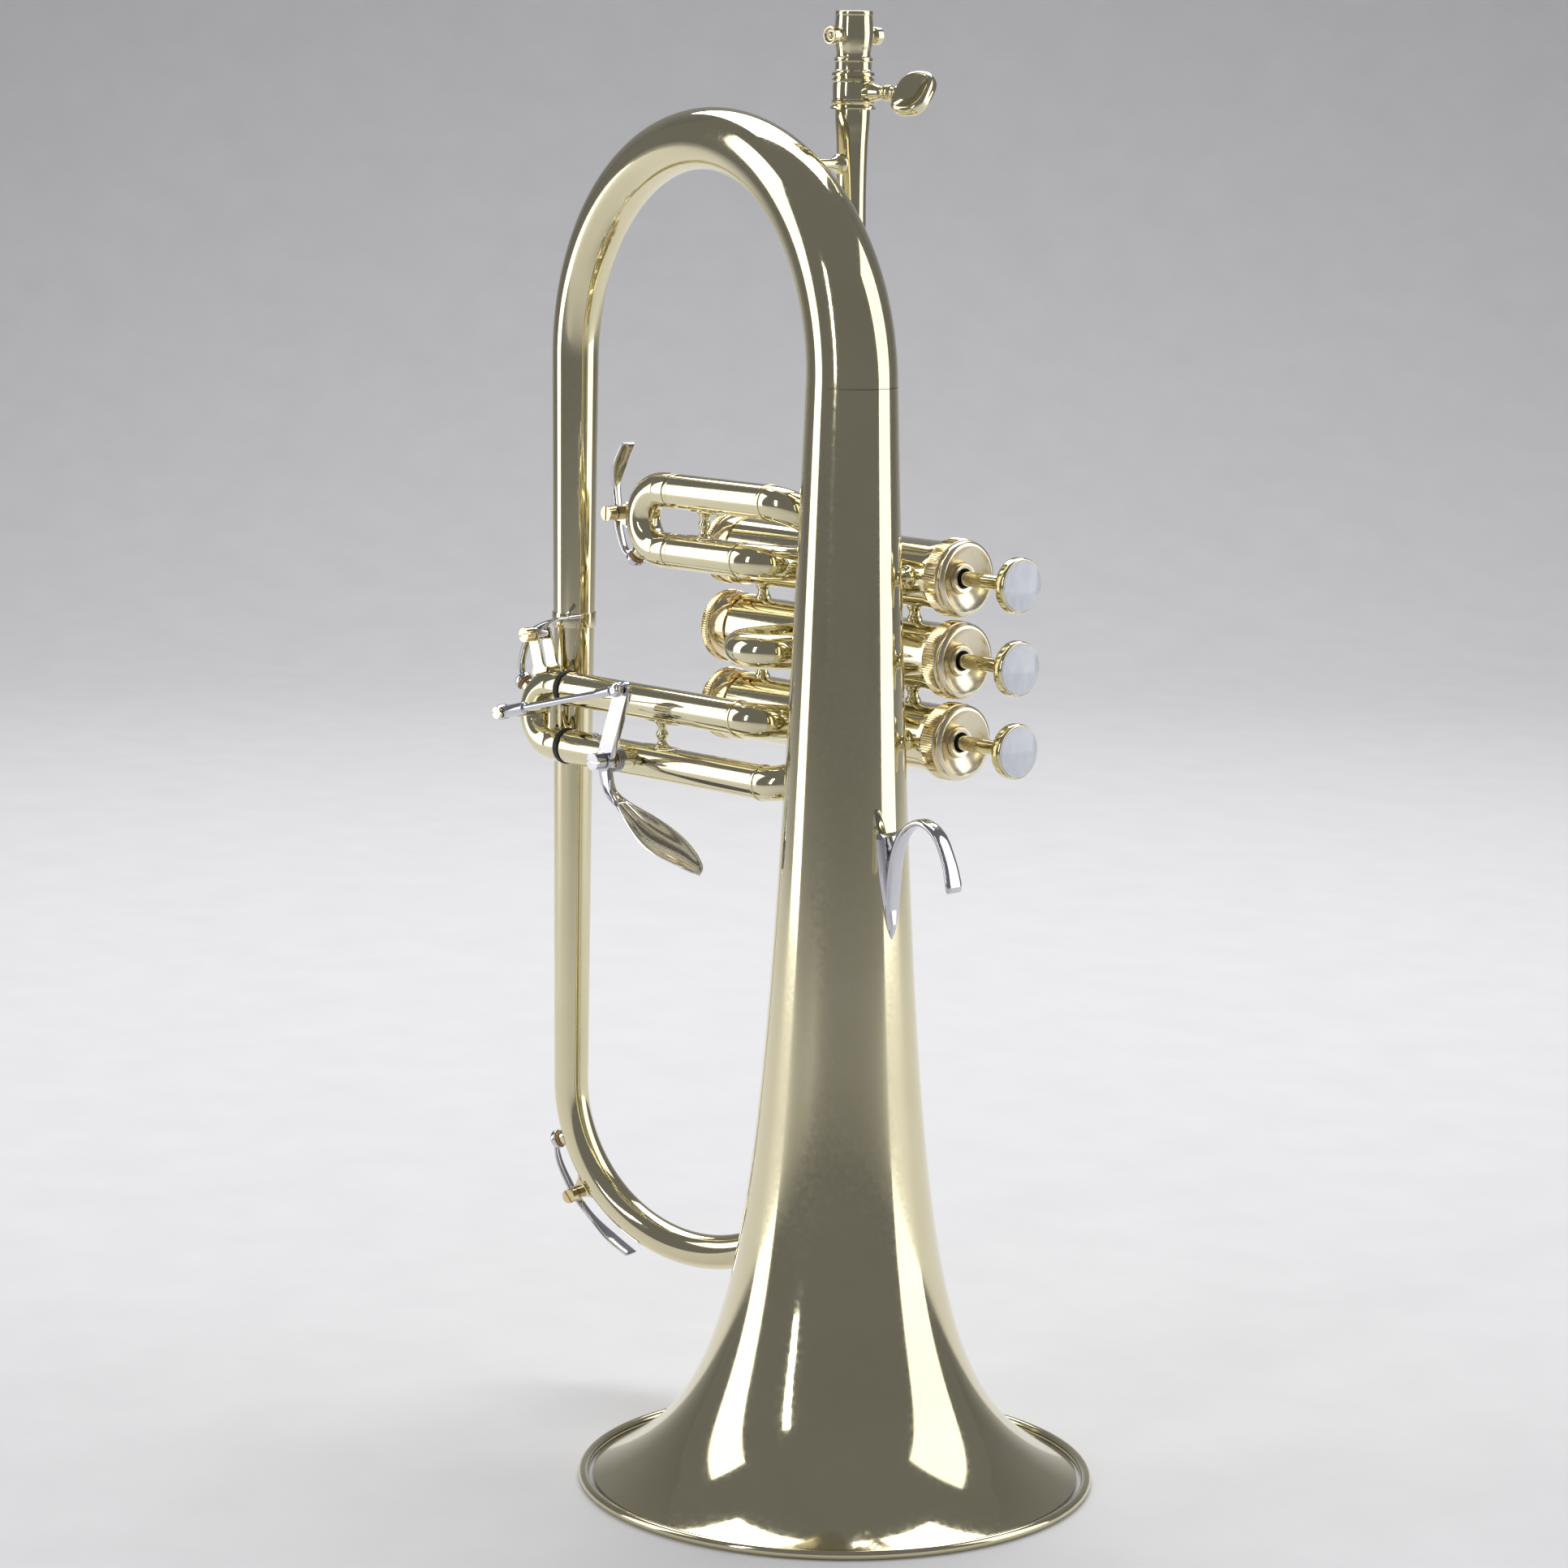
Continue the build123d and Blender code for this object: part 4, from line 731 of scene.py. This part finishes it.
def spoon_leaf(top, tip):
    """A thin dished leaf for the thumb, broad past its middle."""
    rows, columns, points = 44, 16, []
    run = Vector((tip[0] - top[0], 0, tip[1] - top[1]))
    normal = Vector((-run.z, 0, run.x)).normalized()
    for face in (0.55, -0.55):
        for i in range(rows + 1):
            t = i / rows
            half = 2.3 + 4.5 * math.sin(math.pi * min(max((t - 0.06) / 0.94, 0), 1) ** 1.2)
            half *= math.sqrt(max(1 - max((t - 0.9) / 0.1, 0) ** 2, 0.0))
            bow = 1.4 * math.sin(math.pi * t) - 0.9 * t
            for k in range(columns + 1):
                s = -1 + 2 * k / columns
                thick = face * math.sqrt(max(1 - s ** 6, 0)) * (1 if t < 0.97 else 0.5)
                middle = Vector((top[0], LEVER_Y, top[1])) + run * t
                lift = 1.3 * s * s * min(half / 5, 1) + 0.2 * s * half * math.sin(math.pi * t)
                points.append(middle + normal * (lift + thick - bow) + Vector((0, s * half, 0)))
    width, layer = columns + 1, (rows + 1) * (columns + 1)
    faces = sheet(rows, columns) + [face[::-1] for face in sheet(rows, columns, layer)]
    for i in range(rows):
        for k in (0, columns):
            a = i * width + k
            faces.append([a, a + width, a + width + layer, a + layer])
    for k in range(columns):
        for row in (0, rows * width):
            faces.append([row + k, row + k + 1, row + k + 1 + layer, row + k + layer])
    return points, faces


def make_trigger():
    pivot, rod_end = Vector((PIVOT_X, PIVOT_Z)), Vector((ROD_X, ROD_Z))
    away = Vector((ROD_X - PIVOT_X, ROD_Z - PIVOT_Z)).normalized()
    side = Vector((-away.y, away.x))
    ring = []
    for centre, start in ((rod_end, 0), (pivot, math.pi)):
        for k in range(13):
            a = start - math.pi / 2 + math.pi * k / 12
            ring.append(tuple(centre + (away * math.cos(a) + side * math.sin(a)) * LEVER_EYE_R))
    arm = slab(ring, LEVER_Y, LEVER_HALF, 0.25)
    outline = [(13.9, 1.3), (13.9, 3.5), (16.2, 3.5), (16.2, 1.3)]
    hub = turned(outline, (PIVOT_X, 0, PIVOT_Z), (0, -1, 0), 0.3, sides=56)
    bends = ((PIVOT_X, PIVOT_Z - 1, 1.0, 2.8), (-88.3, 200.8, 1.05, 2.7), (-87.2, 197.6, 1.2, 2.3),
             (-85.3, 195.1, 1.8, 1.5), (-82.0, 193.3, 2.6, 1.0))
    neck = strip([(x, LEVER_Y, z, wide, thick) for x, z, wide, thick in bends], (0, 1, 0))
    spoon = spoon_leaf((-86.0, 195.4), (-46.1, 175.6))
    piece("thumb_lever", [arm, hub, neck, spoon], "trigger", ["trigger_lever"])
    start, end = Vector((ANCHOR_X, ROD_Y, ANCHOR_Z)), Vector((ROD_X, ROD_Y, ROD_Z + 0.4))
    run = end - start
    length = run.length
    bar = [(2.2, 0), (2.2, 1.85), (10.9, 1.85), (11.4, 1.05), (length - 9, 1.05), (length - 8.6, 1.5),
           (length - 2.0, 1.5), (length - 2.0, 0)]
    link = turned(bar, start, run, 0.15, sides=48)
    outline = [(17.0, 1.05), (17.0, 2.45), (19.4, 2.45), (19.4, 1.05)]
    eye = turned(outline, (ANCHOR_X, 0, ANCHOR_Z), (0, -1, 0), 0.3, sides=56)
    ball = [(13.7, 0), (13.7, 0.78), (16.6, 0.8), (16.7, 1.6), (17.2, 2.15), (18.2, 2.28), (19.2, 2.0),
            (19.6, 1.2), (19.6, 0)]
    pin = turned(ball, (ROD_X, 0, ROD_Z + 0.4), (0, -1, 0), 0.2, sides=56)
    piece("link_rod", [link, eye, pin], "trigger_link", ["trigger_rod"])


make_bell()
make_bows()
make_valves()
make_slides()
make_braces()
make_leadpipe()
make_hook()
make_keys()
make_trigger()

# ---- the nodes that are shown as they are ----
GOLDEN = ("first_key_screw", "third_key_screw", "bow_key_screw")
for node, shape in frame["nodes"].items():
    shape.data.materials.clear()
    shape.data.materials.append(GOLD if node in GOLDEN else SLOTS[SLOT_OF[node]])


# ---- room ----
def sweep_floor():
    """A pale floor that curves up into a backdrop well behind the instrument."""
    back = Vector((-math.sin(VIEW_YAW), math.cos(VIEW_YAW), 0))
    side = Vector((math.cos(VIEW_YAW), math.sin(VIEW_YAW), 0))
    line = [(-3.2, 0.0), (1.6, 0.0)]
    quarter = [math.pi / 2 * k / 16 for k in range(1, 17)]
    line += [(1.6 + 0.9 * math.sin(a), 0.9 - 0.9 * math.cos(a)) for a in quarter]
    line.append((2.5, 3.4))
    points = [back * a + Vector((0, 0, z)) + side * s for a, z in line for s in (-3.5, 3.5)]
    faces = [[2 * i, 2 * i + 1, 2 * i + 3, 2 * i + 2] for i in range(len(line) - 1)]
    mesh = bpy.data.meshes.new("studio_floor")
    mesh.from_pydata(points, [], faces)
    for face in mesh.polygons:
        face.use_smooth = True
    made = bpy.data.objects.new("studio_floor", mesh)
    bpy.context.scene.collection.objects.link(made)
    mesh.materials.append(matte("pale_paper", (0.76, 0.76, 0.77), (0.79, 0.79, 0.80), 30.0, 0.8, 0.02))


def light(name, turn, height, distance, width, tall, power, aim=0.2):
    """A soft box turn degrees to the right of the camera, seen from the instrument."""
    angle = math.radians(46.0 + turn)
    lamp = bpy.data.lights.new(name, "AREA")
    lamp.shape, lamp.size, lamp.size_y, lamp.energy = "RECTANGLE", width, tall, power
    made = bpy.data.objects.new(name, lamp)
    made.location = (distance * math.sin(angle), -distance * math.cos(angle), height)
    made.rotation_euler = (Vector((0, 0, aim)) - made.location).to_track_quat("-Z", "Y").to_euler()
    bpy.context.scene.collection.objects.link(made)


def make_room():
    sweep_floor()
    light("soft_box_left", -92, 0.55, 1.3, 0.55, 1.5, 5)
    light("soft_box_right", 88, 0.6, 1.3, 0.9, 1.5, 7)
    light("strip_box", -42, 0.75, 1.6, 0.16, 0.9, 3)
    light("top_box", 180, 1.7, 1.0, 1.6, 1.2, 29, 0.0)
    world = bpy.data.worlds.new("studio")
    world.use_nodes = True
    world.node_tree.nodes["Background"].inputs["Color"].default_value = (0.18, 0.18, 0.19, 1)
    world.node_tree.nodes["Background"].inputs["Strength"].default_value = 1.0
    bpy.context.scene.world = world
    bpy.context.scene.view_settings.view_transform = "Standard"


def make_camera():
    yaw, pitch, roll = VIEW_YAW, VIEW_PITCH, VIEW_ROLL
    ahead = Vector((-math.sin(yaw) * math.cos(pitch), math.cos(yaw) * math.cos(pitch), -math.sin(pitch)))
    level = Vector((math.cos(yaw), math.sin(yaw), 0))
    up = level.cross(ahead)
    right = level * math.cos(roll) + up * math.sin(roll)
    top = up * math.cos(roll) - level * math.sin(roll)
    lens = bpy.data.cameras.new("camera")
    lens.lens, lens.sensor_width, lens.clip_start = VIEW_LENS, 36.0, 0.05
    made = bpy.data.objects.new("camera", lens)
    turned_to = Matrix([[right[i], top[i], -ahead[i]] for i in range(3)]).to_4x4()
    made.matrix_world = Matrix.Translation(VIEW_FROM) @ turned_to
    bpy.context.scene.collection.objects.link(made)
    bpy.context.scene.camera = made


make_room()
make_camera()
